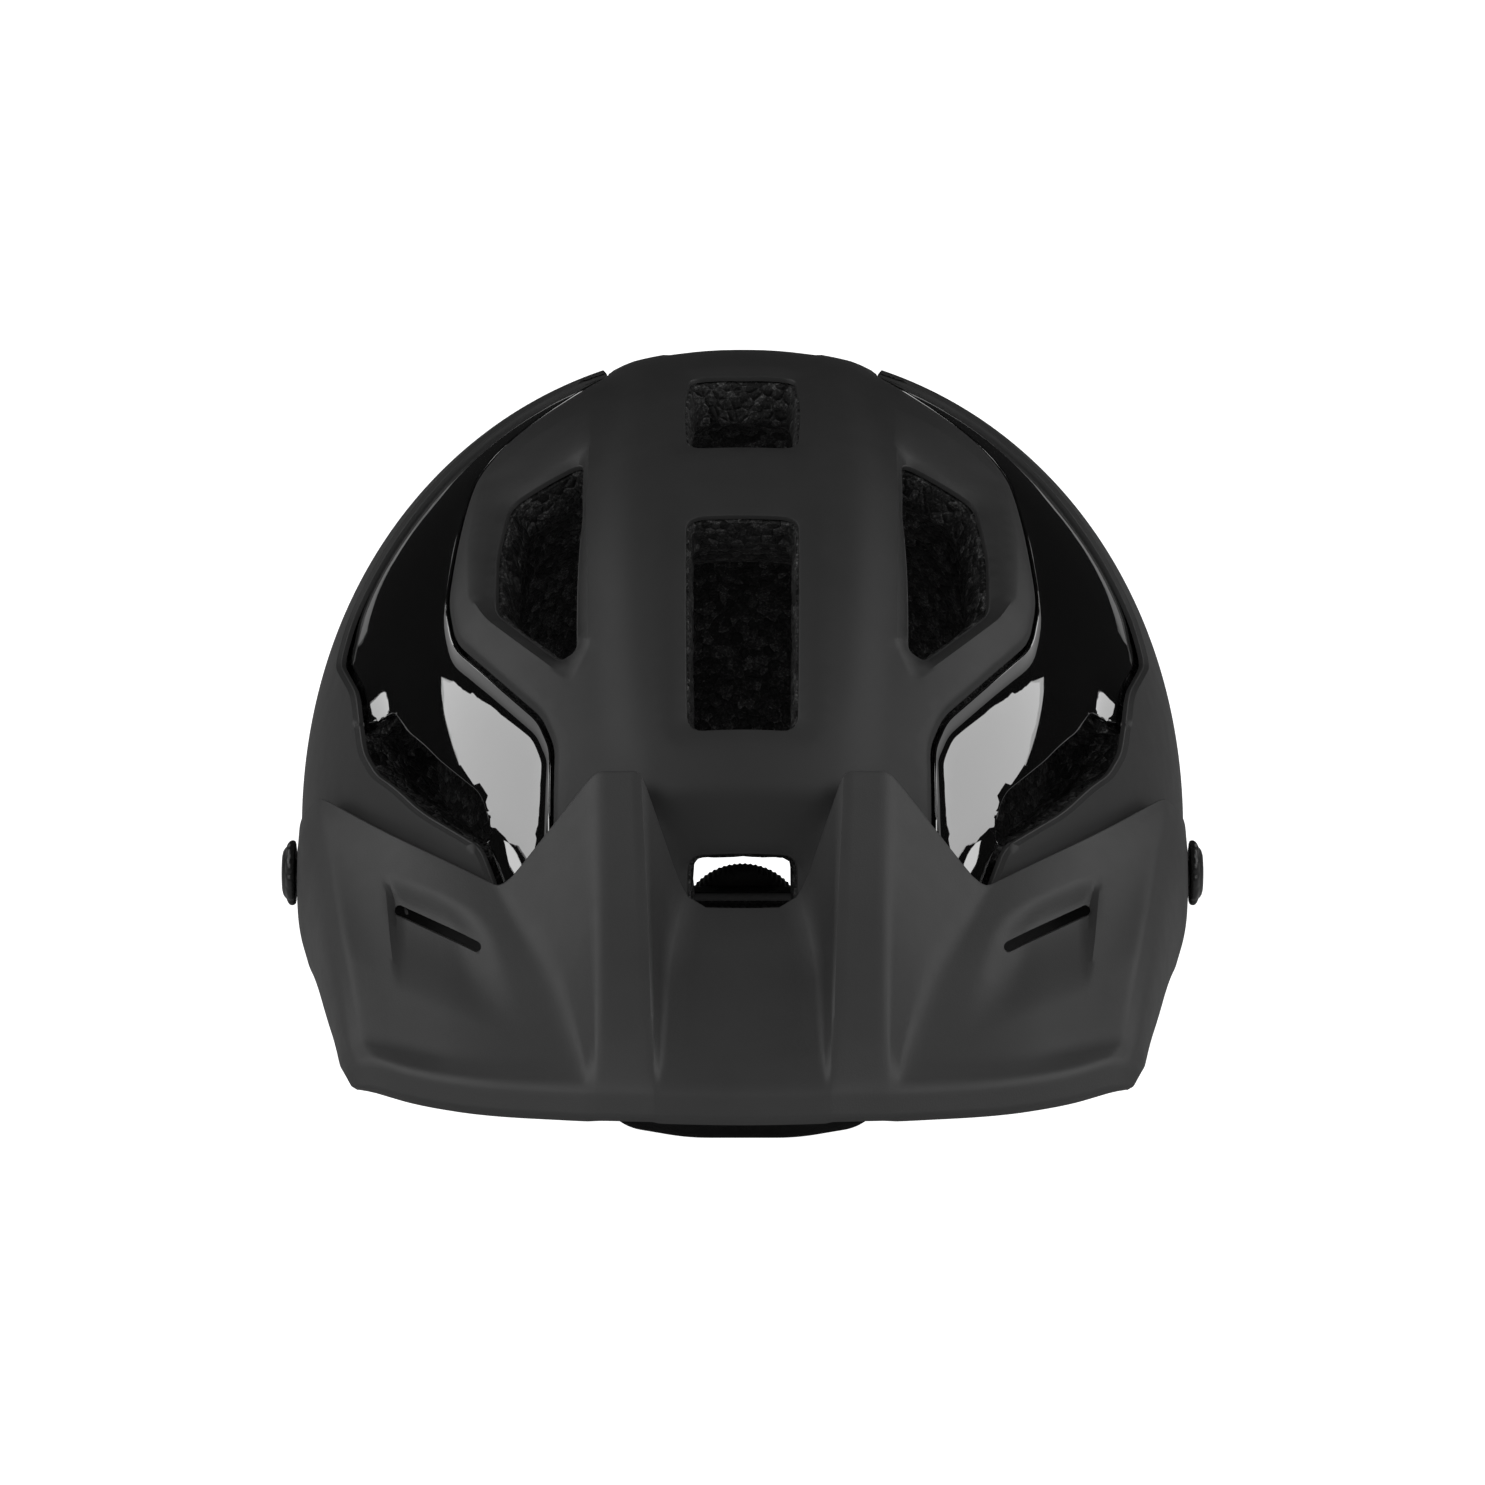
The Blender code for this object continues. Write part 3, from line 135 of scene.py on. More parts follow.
class Nodes:
    """A new material's node tree, with short calls to add and join nodes."""

    def __init__(self, name, **sockets):
        self.material = bpy.data.materials.new(name)
        self.material.use_nodes = True
        self.tree = self.material.node_tree
        self.shader = self.tree.nodes["Principled BSDF"]
        for key, value in sockets.items():
            self.shader.inputs[key.replace("_", " ")].default_value = value

    def add(self, kind, inputs=None, **settings):
        node = self.tree.nodes.new("ShaderNode" + kind)
        for key, value in settings.items():
            setattr(node, key, value)
        for key, value in (inputs or {}).items():
            if isinstance(value, bpy.types.NodeSocket):
                self.tree.links.new(value, node.inputs[key])
            else:
                node.inputs[key].default_value = value
        return node

    def link(self, socket, name):
        self.tree.links.new(socket, self.shader.inputs[name])

    def place(self, kind="Object"):
        return self.add("TexCoord").outputs[kind]

    def noise(self, scale, detail=2.0, roughness=0.5, where=None):
        inputs = {"Vector": where or self.place(), "Scale": scale, "Detail": detail, "Roughness": roughness}
        return self.add("TexNoise", inputs).outputs["Fac"]

    def pores(self, scale, randomness=1.0):
        inputs = {"Vector": self.place(), "Scale": scale, "Randomness": randomness}
        return self.add("TexVoronoi", inputs).outputs["Distance"]

    def ramp(self, value, stops):
        """A colour ramp: stops are (position, grey or colour)."""
        node = self.add("ValToRGB", {"Fac": value})
        band = node.color_ramp
        while len(band.elements) < len(stops):
            band.elements.new(0.5)
        for element, (at, colour) in zip(band.elements, stops):
            element.position = at
            colour = (colour,) * 3 if isinstance(colour, (int, float)) else colour
            element.color = (*colour, 1.0)
        return node.outputs["Color"]

    def spread(self, value, low, high):
        return self.add("MapRange", {"Value": value, "To Min": low, "To Max": high}).outputs["Result"]

    def bumps(self, *layers):
        """Stacked bumps: each layer is (height, strength, distance in metres)."""
        normal = None
        for height, strength, distance in layers:
            inputs = {"Height": height, "Strength": strength, "Distance": distance}
            if normal is not None:
                inputs["Normal"] = normal
            normal = self.add("Bump", inputs).outputs["Normal"]
        self.link(normal, "Normal")


def moulded(name, tone, finish, grain, relief, **sockets):
    """A moulded or painted surface whose tone and finish drift a little, under a fine grain.

    tone is (noise scale, darkest, lightest) and finish is (noise scale, detail, smoothest, roughest). grain is a
    noise (scale, detail, roughness), or (scale,) for pores. relief holds (strength, distance) for the grain, and
    for the drift where it shows.
    """
    made = Nodes(name, **sockets)
    drift = made.noise(tone[0], 3.0)
    fine = made.pores(*grain) if len(grain) == 1 else made.noise(*grain)
    made.link(made.ramp(drift, [(0.3, tone[1]), (0.7, tone[2])]), "Base Color")
    made.link(made.spread(made.noise(*finish[:2]), *finish[2:]), "Roughness")
    made.bumps(*((height, *size) for height, size in zip((fine, drift), relief)))
    return made.material


def gloss_plastic():
    coat = {"Coat_Weight": 1.0, "Coat_Roughness": 0.02, "Coat_IOR": 2.3}
    made = Nodes("gloss_black_plastic", Roughness=0.035, Specular_IOR_Level=0.9, **coat)
    drift = made.noise(40.0, 2.0)
    made.link(made.ramp(made.noise(300.0), [(0.3, 0.0018), (0.7, 0.0030)]), "Base Color")
    made.link(made.spread(made.noise(90.0, 4.0), 0.02, 0.05), "Roughness")
    made.bumps((drift, 0.22, 0.0022))
    return made.material


def bead_foam():
    made = Nodes("black_bead_foam", Roughness=0.8, Specular_IOR_Level=0.35)
    beads = {"Vector": made.place(), "Scale": 470.0}
    cells = made.add("TexVoronoi", beads)
    edges = made.add("TexVoronoi", beads, feature="DISTANCE_TO_EDGE").outputs["Distance"]
    specks = made.noise(1700.0, 3.0, 0.7)
    tone = made.ramp(cells.outputs["Color"], [(0.15, 0.013), (0.55, 0.036), (0.9, 0.105)])
    light = made.ramp(specks, [(0.5, 0.35), (0.68, 1.9)])
    mixed = made.add("Mix", {"Factor": 1.0, 6: tone, 7: light}, data_type="RGBA", blend_type="MULTIPLY")
    made.link(mixed.outputs[2], "Base Color")
    made.link(made.spread(specks, 0.62, 0.95), "Roughness")
    made.bumps((made.ramp(edges, [(0.0, 0.0), (0.28, 1.0)]), 0.7, 0.0007), (specks, 0.35, 0.0004))
    return made.material


def pad_cloth():
    made = Nodes("black_pad_cloth", Roughness=0.95, Sheen_Weight=0.35, Sheen_Roughness=0.5)
    holes = made.pores(620.0, 0.25)
    fuzz = made.noise(2400.0, 3.0, 0.7)
    made.link(made.ramp(holes, [(0.1, 0.034), (0.45, 0.011)]), "Base Color")
    made.link(made.spread(fuzz, 0.85, 1.0), "Roughness")
    made.bumps((made.ramp(holes, [(0.05, 1.0), (0.5, 0.0)]), 0.8, 0.0006), (fuzz, 0.3, 0.0003))
    return made.material


def webbing():
    """Woven polyester: UV runs in millimetres, across the strap and along it."""
    made = Nodes("black_webbing", Roughness=0.8, Sheen_Weight=0.15)
    where = made.place("UV")
    weave = made.add(
        "TexBrick", {"Vector": where, "Scale": 1.0, "Mortar Size": 0.16, "Mortar Smooth": 0.7, "Brick Width": 1.5,
                     "Row Height": 0.62, "Color1": (0.9, 0.9, 0.9, 1), "Color2": (0.65, 0.65, 0.65, 1),
                     "Mortar": (0.05, 0.05, 0.05, 1)}, offset=0.5,
    )
    threads = made.noise(5.0, 3.0, 0.6, where)
    made.link(made.ramp(weave.outputs["Color"], [(0.0, 0.006), (0.65, 0.02), (1.0, 0.034)]), "Base Color")
    made.link(made.spread(threads, 0.65, 0.9), "Roughness")
    made.bumps((weave.outputs["Color"], 0.9, 0.00035), (threads, 0.25, 0.0002))
    return made.material


def hook_tape():
    made = Nodes("black_hook_tape", Roughness=0.6)
    stems = made.pores(900.0, 0.15)
    made.link(made.ramp(stems, [(0.1, 0.045), (0.4, 0.008)]), "Base Color")
    made.link(made.spread(made.noise(800.0), 0.5, 0.75), "Roughness")
    made.bumps((made.ramp(stems, [(0.05, 1.0), (0.4, 0.0)]), 1.0, 0.0006))
    return made.material


SHELL = moulded(
    "matte_shell_paint", (26.0, 0.0295, 0.0335), (140.0, 3.0, 0.47, 0.57), (2600.0, 2.0, 0.6),
    ((0.10, 0.00012), (0.05, 0.002)), Roughness=0.5, Specular_IOR_Level=0.38,
)
VISOR = moulded(
    "matte_visor_plastic", (22.0, 0.043, 0.048), (160.0, 3.0, 0.48, 0.58), (2300.0,),
    ((0.12, 0.00012), (0.05, 0.002)), Roughness=0.52, Specular_IOR_Level=0.4,
)
NYLON = moulded(
    "moulded_nylon", (60.0, 0.016, 0.024), (420.0, 3.0, 0.38, 0.55), (1500.0,),
    ((0.22, 0.00016), (0.08, 0.001)), Roughness=0.45,
)
HARDWARE = moulded(
    "satin_black_hardware", (110.0, 0.010, 0.018), (240.0, 3.0, 0.26, 0.42), (1300.0, 2.0),
    ((0.08, 0.0001),), Roughness=0.32,
)
RUBBER = moulded(
    "black_rubber", (90.0, 0.014, 0.023), (300.0, 2.0, 0.66, 0.85), (1900.0, 3.0, 0.6),
    ((0.3, 0.0002),), Roughness=0.75,
)
METAL = moulded(
    "insert_brass", (240.0, (0.50, 0.42, 0.26), (0.62, 0.53, 0.34)), (700.0, 3.0, 0.24, 0.44), (1600.0, 2.0),
    ((0.15, 0.0001),), Roughness=0.34, Metallic=1.0,
)
GLOSS, FOAM, CLOTH, WEB, HOOKS = gloss_plastic(), bead_foam(), pad_cloth(), webbing(), hook_tape()


# ---------------------------------------------------------------- pieces


def entered(obj, body, slot, replaces):
    """Puts an object in the scene and on its body, and hides the CAD nodes it stands for; the slot is not used."""
    if obj.name not in bpy.context.scene.collection.objects:
        bpy.context.scene.collection.objects.link(obj)
    if body:
        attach(obj, body)
    if replaces:
        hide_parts(*replaces)
    return obj


def new_piece(name, points, faces, surface, body, slot, replaces=(), smooth=35.0, uv=None):
    """An object from points in millimetres that rides on a body and stands for CAD nodes."""
    mesh = bpy.data.meshes.new(name)
    mesh.from_pydata((np.asarray(points, float) * MM).tolist(), [], [tuple(int(i) for i in f) for f in faces])
    mesh.validate()
    if uv is not None:
        layer = mesh.uv_layers.new(name="along")
        corners = np.zeros(len(mesh.loops), int)
        mesh.loops.foreach_get("vertex_index", corners)
        layer.data.foreach_set("uv", np.asarray(uv, np.float32)[corners].ravel())
    mesh.shade_smooth()
    mesh.set_sharp_from_angle(angle=math.radians(smooth))
    mesh.materials.append(surface)
    return entered(bpy.data.objects.new(name, mesh), body, slot, replaces)


def applied(obj, *modifiers):
    """Adds modifiers, each (kind, settings), and applies them."""
    for kind, settings in modifiers:
        modifier = obj.modifiers.new(kind.lower(), kind)
        for key, value in settings.items():
            setattr(modifier, key, value)
    graph = bpy.context.evaluated_depsgraph_get()
    mesh = bpy.data.meshes.new_from_object(obj.evaluated_get(graph))
    obj.modifiers.clear()
    old, obj.data = obj.data, mesh
    bpy.data.meshes.remove(old)
    return obj


def bevelled(width, segments, angle):
    settings = {"width": width * MM, "segments": segments, "limit_method": "ANGLE", "angle_limit": math.radians(angle)}
    return ("BEVEL", settings)


def resharpened(obj, angle=35.0):
    obj.data.shade_smooth()
    obj.data.set_sharp_from_angle(angle=math.radians(angle))
    return obj


def refined(node, surface, body, slot, bevel, segments):
    """A finer copy of a CAD node with its edges rounded."""
    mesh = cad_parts[node].data.copy()
    mesh.materials.clear()
    mesh.materials.append(surface)
    work = bmesh.new()
    work.from_mesh(mesh)
    bmesh.ops.remove_doubles(work, verts=work.verts, dist=1e-6)
    bmesh.ops.dissolve_limit(work, angle_limit=math.radians(0.5), verts=work.verts, edges=work.edges)
    work.to_mesh(mesh)
    work.free()
    obj = bpy.data.objects.new(node + "_fine", mesh)
    bpy.context.scene.collection.objects.link(obj)
    applied(obj, bevelled(bevel, segments, 40.0))
    return entered(resharpened(obj), body, slot, (node,))


# ---------------------------------------------------------------- the dome and its map


def ease(t):
    t = np.clip(t, 0.0, 1.0)
    return t * t * (3.0 - 2.0 * t)


def rim_height(bearing):
    angle = np.abs(np.degrees(bearing))
    height = np.full_like(angle, RIM_HEIGHTS[-1])
    for i in range(len(RIM_BEARINGS) - 1):
        low, high = RIM_BEARINGS[i], RIM_BEARINGS[i + 1]
        share = ease((angle - low) / (high - low))
        between = (angle >= low) & (angle <= high)
        height = np.where(between, RIM_HEIGHTS[i] + (RIM_HEIGHTS[i + 1] - RIM_HEIGHTS[i]) * share, height)
    return height


def plan_reach(bearing, form):
    ahead, aside = np.cos(bearing), np.sin(bearing)
    length = np.where(ahead > 0, form["front"], form["rear"])
    total = np.abs(aside / form["width"]) ** PLAN_POWER + np.abs(ahead / length) ** PLAN_POWER
    return total ** (-1.0 / PLAN_POWER)


def rim_angle(bearing):
    return math.pi / 2 + np.arcsin((EQUATOR_Z - rim_height(bearing)) / OUTER_FORM["below"])


def on_form(uv, form):
    uv = np.asarray(uv, float).reshape(-1, 2)
    bearing = np.arctan2(uv[:, 0], -uv[:, 1])
    angle = np.hypot(uv[:, 0], uv[:, 1]) / 100.0 * rim_angle(bearing)
    out, up = np.sin(angle), np.cos(angle)
    over = up > 0
    size = (np.abs(out) ** SIDE_POWER + np.abs(up) ** SIDE_POWER) ** (-1.0 / SIDE_POWER)
    size = np.where(over, size, 1.0)
    reach = plan_reach(bearing, form) * out * size
    height = EQUATOR_Z + np.where(over, form["above"], form["below"]) * up * size
    return np.stack([np.sin(bearing) * reach, WIDEST_Y - np.cos(bearing) * reach, height], axis=1)


def normals_on(uv, form):
    step = 0.05
    uv = np.asarray(uv, float).reshape(-1, 2)
    along_u = on_form(uv + [step, 0], form) - on_form(uv - [step, 0], form)
    along_v = on_form(uv + [0, step], form) - on_form(uv - [0, step], form)
    normal = np.cross(along_u, along_v)
    return normal / np.linalg.norm(normal, axis=1)[:, None]


def surface_at(uv, form, offset):
    offset = np.broadcast_to(np.asarray(offset, float), (len(uv),))
    return on_form(uv, form) + normals_on(uv, form) * offset[:, None]


def map_point(bearing_degrees, height):
    bearing = np.array([math.radians(bearing_degrees)])
    rise = (height - EQUATOR_Z) / OUTER_FORM["above"]
    out = (1.0 - rise**SIDE_POWER) ** (1.0 / SIDE_POWER)
    share = 100.0 * math.atan2(out, rise) / float(rim_angle(bearing)[0])
    return np.array([math.sin(bearing[0]), -math.cos(bearing[0])]) * share


def away_from(uv, line, closed=True):
    """Distance to a line on the map, and the unit step away from it."""
    uv, line = np.asarray(uv, float), np.asarray(line, float)
    nearest, step = np.full(len(uv), 1e9), np.zeros_like(uv)
    for a, b in zip(line, np.roll(line, -1, axis=0) if closed else line[1:]):
        edge = b - a
        share = np.clip(((uv - a) @ edge) / max(edge @ edge, 1e-12), 0.0, 1.0)
        off = uv - a - share[:, None] * edge
        distance = np.linalg.norm(off, axis=1)
        closer = distance < nearest
        nearest[closer], step[closer] = distance[closer], off[closer]
    return nearest, step / np.maximum(np.linalg.norm(step, axis=1), 1e-9)[:, None]


def edge_distance(uv, line, closed=True):
    return away_from(uv, line, closed)[0]


def is_inside(uv, polygon):
    corners = np.asarray(polygon, float)
    inside = np.zeros(len(uv), bool)
    for a, b in zip(corners, np.roll(corners, -1, axis=0)):
        crosses = (a[1] > uv[:, 1]) != (b[1] > uv[:, 1])
        rise = b[1] - a[1] if abs(b[1] - a[1]) > 1e-12 else 1e-12
        inside ^= crosses & (uv[:, 0] < a[0] + (uv[:, 1] - a[1]) * (b[0] - a[0]) / rise)
    return inside


def signed_distance(uv, polygon):
    distance = edge_distance(uv, polygon)
    return np.where(is_inside(np.asarray(uv, float), polygon), distance, -distance)


def quadratic(start, corner, end, t):
    return start * (1 - t) ** 2 + corner * 2 * t * (1 - t) + end * t**2


def fillet(points, radius, steps=5, closed=True):
    points = [Vector(p) for p in points]
    count, made = len(points), []
    for i, corner in enumerate(points):
        if not closed and i in (0, count - 1):
            made.append(tuple(corner))
            continue
        before, after = points[i - 1] - corner, points[(i + 1) % count] - corner
        cut = min(radius, before.length / 3, after.length / 3)
        start, end = corner + before.normalized() * cut, corner + after.normalized() * cut
        made += [tuple(quadratic(start, corner, end, k / steps)) for k in range(steps + 1)]
    return made


def subdivided(points, step, closed=True):
    made = []
    pairs = list(zip(points, points[1:] + points[:1])) if closed else list(zip(points, points[1:]))
    for a, b in pairs:
        a, b = Vector(a), Vector(b)
        parts = max(1, math.ceil((b - a).length / step))
        made += [tuple(a.lerp(b, k / parts)) for k in range(parts)]
    return made if closed else made + [tuple(points[-1])]


def mirrored(points):
    return [(-u, v) for u, v in reversed(points)]


def both_sides(right_edge):
    return right_edge + mirrored(right_edge)


def circle(radius, count):
    turns = [2 * math.pi * k / count for k in range(count)]
    return [(radius * math.cos(t), radius * math.sin(t)) for t in turns]


def offset_line(points, by):
    """A closed line moved sideways on the map."""
    at = np.array(points)
    along = np.roll(at, -1, axis=0) - np.roll(at, 1, axis=0)
    along /= np.linalg.norm(along, axis=1)[:, None]
    turn = np.sum(at[:, 0] * np.roll(at[:, 1], -1) - np.roll(at[:, 0], -1) * at[:, 1])
    side = np.stack([along[:, 1], -along[:, 0]], axis=1) * (1 if turn > 0 else -1)
    return [tuple(p) for p in at + side * by]


def gloss_outline():
    crown, side = fillet(CROWN_SEAM, 3.0, closed=False), fillet(SIDE_SEAM, 3.0, closed=False)
    return crown + side[-2:0:-1]


def crown_tail():
    return fillet([CROWN_SEAM[-1], *CROWN_TAIL], 5.0, closed=False)


def crown_edge():
    return [FRONT_SEAM_END, *fillet(CROWN_SEAM, 3.0, closed=False), *crown_tail()[1:]]


def crown_outline():
    left = [(30.0, -115.0), *crown_edge()]
    return left + mirrored(left[:-1])


def pivot_hole():
    bearing = math.degrees(math.atan2(98.7, WIDEST_Y - PIVOT.y))
    centre = map_point(bearing, PIVOT.z)
    radial = centre / np.linalg.norm(centre)
    across = np.array([-radial[1], radial[0]])
    return [tuple(centre + radial * 5.0 * c + across * 8.5 * s) for c, s in circle(1.0, 32)]


def vent_outlines():
    made = {}
    for name, side in MIDDLE_VENTS.items():
        made[name] = fillet(both_sides(side), VENT_FILLET)
    for name, outline in SIDE_VENTS.items():
        left = fillet(outline, VENT_FILLET)
        made[name + "_left"], made[name + "_right"] = left, mirrored(left)
    return made


def flat_mesh(points, edges, output):
    """A Delaunay mesh that holds the given edges, with every triangle the same way up."""
    found, _, faces, *_ = delaunay_2d_cdt([Vector(p) for p in points], edges, [], output, 1e-4)
    uv, triangles = np.array([tuple(p) for p in found]), np.array([list(f) for f in faces])
    a, b, c = (uv[triangles[:, k]] for k in range(3))
    turn = (b[:, 0] - a[:, 0]) * (c[:, 1] - a[:, 1]) - (b[:, 1] - a[:, 1]) * (c[:, 0] - a[:, 0])
    triangles[turn < 0] = triangles[turn < 0][:, ::-1]
    return uv, triangles[np.abs(turn) > 1e-7]


def triangulate(outlines, open_lines, edge_step, step, reach):
    """A triangulated disc on the map with every outline as edges."""
    points, edges = [], []

    def add(line, closed):
        first = len(points)
        points.extend(line)
        last = len(points) - 1
        edges.extend((i, i + 1) for i in range(first, last))
        if closed:
            edges.append((last, first))

    for outline in outlines:
        add(subdivided(outline, edge_step), True)
    for line in open_lines:
        add(subdivided(line, edge_step, closed=False), False)
    fixed = np.array(points)
    rows = int(reach / (step * ROW_PITCH)) + 2
    across = range(-rows, rows + 1)
    grid = np.array([((i + 0.5 * (j % 2)) * step, j * step * ROW_PITCH) for j in across for i in across])
    grid = grid[np.hypot(grid[:, 0], grid[:, 1]) < reach - 0.6 * step]
    clear = np.ones(len(grid), bool)
    for start in range(0, len(fixed), 256):
        away = np.linalg.norm(grid[:, None, :] - fixed[None, start:start + 256, :], axis=2).min(axis=1)
        clear &= away > KEEP_OFF * step
    return flat_mesh([*map(tuple, fixed), *map(tuple, grid[clear])], edges, 0)


def used_only(uv, triangles):
    used = np.unique(triangles)
    number = np.full(len(uv), -1)
    number[used] = np.arange(len(used))
    return uv[used], number[triangles]


def border(uv, triangles):
    """The border's directed edges, and each point's unit step inward on the map."""
    directed = {(int(t[i]), int(t[(i + 1) % 3])) for t in triangles for i in range(3)}
    edges = sorted((a, b) for a, b in directed if (b, a) not in directed)
    shift = np.zeros_like(uv)
    for a, b in edges:
        edge = uv[b] - uv[a]
        inward = np.array([-edge[1], edge[0]]) / max(np.linalg.norm(edge), 1e-9)
        shift[a] += inward
        shift[b] += inward
    length = np.linalg.norm(shift, axis=1)
    shift[length > 1e-6] /= length[length > 1e-6][:, None]
    return edges, shift


def layered(rings, edges, triangles):
    """A closed solid: rings[0] is the outer face, rings[-1] the inner one, and walls join the rest."""
    count, under = len(rings[0]), (len(rings) - 1) * len(rings[0])
    faces = [tuple(t) for t in triangles] + [tuple(int(i) + under for i in reversed(t)) for t in triangles]
    for k in range(len(rings) - 1):
        low, high = k * count, (k + 1) * count
        faces += [(b + low, a + low, a + high, b + high) for a, b in edges]
    points = np.vstack(rings)
    used, renumbered = np.unique(np.concatenate([np.array(f) for f in faces]), return_inverse=True)
    made, at = [], 0
    for f in faces:
        made.append(tuple(renumbered[at:at + len(f)]))
        at += len(f)
    return points[used], made


def panel(name, uv, triangles, height, depth, surface, slot, seam=PANEL_SEAM, round_by=0.3):
    """A shell panel with rounded edges: height and depth give its outer and inner faces over the dome."""
    uv, triangles = used_only(uv, triangles)
    edges, shift = border(uv, triangles)
    high, low = height(uv), depth(uv)
    rings = []
    for k in range(4):
        turn = math.pi / 2 * k / 3
        inset = seam + round_by / MM_PER_UNIT * (1 - math.sin(turn))
        rings.append(surface_at(uv + shift * inset, OUTER_FORM, high - round_by * (1 - math.cos(turn))))
    rings.append(surface_at(uv + shift * seam, OUTER_FORM, low))
    return new_piece(name + "_fine", *layered(rings, edges, triangles), surface, "helmet", slot, (name,), 30.0)


GLOSS_LINE = gloss_outline()
CROWN_LINE = crown_outline()
VENTS = vent_outlines()


def left_half(uv):
    return np.stack([np.abs(uv[:, 0]), uv[:, 1]], axis=1)


def dip(uv, frame_line, vent_line, depth, power=1.0):
    """A facet that falls from a frame line to the vent inside it."""
    outer, inner = signed_distance(uv, frame_line), -signed_distance(uv, vent_line)
    share = np.clip(outer, 0, None) / np.maximum(np.clip(outer, 0, None) + np.clip(inner, 0, None), 1e-6)
    return -depth * np.where(outer > 0, share, 0.0) ** power


def lower_height(uv):
    """Relief of the lower panel over the dome, in millimetres: a narrow facet along the gloss inserts."""
    return -0.9 * np.clip(1 - edge_distance(left_half(uv), GLOSS_LINE) / 0.9, 0, 1)


def crown_height(uv):
    """Relief of the crown panel: a raised middle band, a facet along the gloss and a dished frame round each vent."""
    left = left_half(uv)
    u, v = left[:, 0], left[:, 1]
    fade = ease((v + 88.0) / 14.0) * (1 - ease((v - 30.0) / 26.0))
    height = -1.5 * ease((u - 11.0) / 6.0) * fade
    height -= 1.1 * np.clip(1 - edge_distance(left, GLOSS_LINE) / 1.5, 0, 1)
    height += dip(left, TEMPLE_FRAME, VENTS["temple_left"], 3.2)
    height += dip(left, fillet(both_sides(FRONT_FRAME), 2.0), VENTS["front"], 1.1)
    height += dip(left, fillet(both_sides(TOP_FRAME), 2.0), VENTS["top"], 1.0)
    height += dip(left, fillet(both_sides(REAR_FRAME), 2.0), VENTS["rear"], 1.0)
    height += dip(left, both_sides(BROW_SCOOP), VENTS["brow"], 5.0, 0.8)
    return height


def gloss_floor(uv):
    return -GLOSS_DEPTH_REAR - (GLOSS_DEPTH - GLOSS_DEPTH_REAR) * ease((-2.0 - uv[:, 1]) / 34.0)


def gloss_height(uv):
    """The gloss insert is a shallow tub: its floor curves up to a rim just under the panels' edges."""
    floor = gloss_floor(uv)
    share = np.clip(1 - edge_distance(left_half(uv), GLOSS_LINE) / GLOSS_FILLET, 0, 1)
    return floor + np.maximum(GLOSS_RIM - floor, 0.0) * share**3


def under(height):
    """A panel's inner face."""
    return lambda uv: height(uv) - SHELL_THICKNESS


def foam_height(uv):
    """The liner under the shell: it drops clear of the gloss channel before it reaches it."""
    left = left_half(uv)
    near = np.clip(1.8 - edge_distance(left, VENTS["cheek_left"]) / 2.5, 0, 1)
    channel = ease((signed_distance(left, GLOSS_LINE) + 6.0 - 4.4 * near) / (3.5 - 2.5 * near))
    under_gloss = gloss_floor(uv) - SHELL_THICKNESS - 0.6
    shell = np.where(is_inside(uv, CROWN_LINE), crown_height(uv), lower_height(uv))
    under_shell = shell - SHELL_THICKNESS - 0.4
    return np.minimum(under_shell, -1.6 + (under_gloss + 1.6) * channel)


def make_shell():
    """The crown and lower panels and both gloss inserts."""
    step = 1.35
    holes = [pivot_hole(), mirrored(pivot_hole())]
    outlines = [circle(SHELL_EDGE, 280), GLOSS_LINE, mirrored(GLOSS_LINE), *holes, *VENTS.values()]
    temple = fillet(TEMPLE_FRAME, 1.5)
    bands = [offset_line(GLOSS_LINE, by) for by in (1.5, 0.9, -0.45, -1.1, -2.0, -3.0)]
    for line in (temple, offset_line(temple, 0.45), *bands):
        outlines += [line, mirrored(line)]
    outlines += [both_sides(FRONT_FRAME), both_sides(TOP_FRAME)]
    lines = [crown_edge()[:2], crown_tail()]
    lines += [mirrored(line) for line in lines]
    uv, triangles = triangulate(outlines, lines, 1.2, step, SHELL_EDGE)
    middle = uv[triangles].mean(axis=1)
    in_left, in_right = is_inside(middle, GLOSS_LINE), is_inside(middle, mirrored(GLOSS_LINE))
    open_part = np.zeros(len(triangles), bool)
    for name, outline in VENTS.items():
        # The cheek vents run on under the lower panel's edge, and only the gloss inserts and the liner open for them.
        open_part |= is_inside(middle, outline) & (in_left | in_right | ("cheek" not in name))
    holed = is_inside(middle, holes[0]) | is_inside(middle, holes[1])
    in_crown = is_inside(middle, CROWN_LINE) & ~in_left & ~in_right
    solid = ~open_part & (np.hypot(middle[:, 0], middle[:, 1]) < SHELL_EDGE)
    panel("crown_shell", uv, triangles[solid & in_crown], crown_height, under(crown_height), SHELL, "shell")
    lower = solid & ~in_crown & ~in_left & ~in_right & ~holed
    panel("lower_shell", uv, triangles[lower], lower_height, under(lower_height), SHELL, "shell")
    for (side, _), mask in zip(SIDES, (in_left, in_right)):
        name = f"gloss_insert_{side}"
        panel(name, uv, triangles[solid & mask], gloss_height, under(gloss_height), GLOSS, "gloss", 0.25, 0.4)


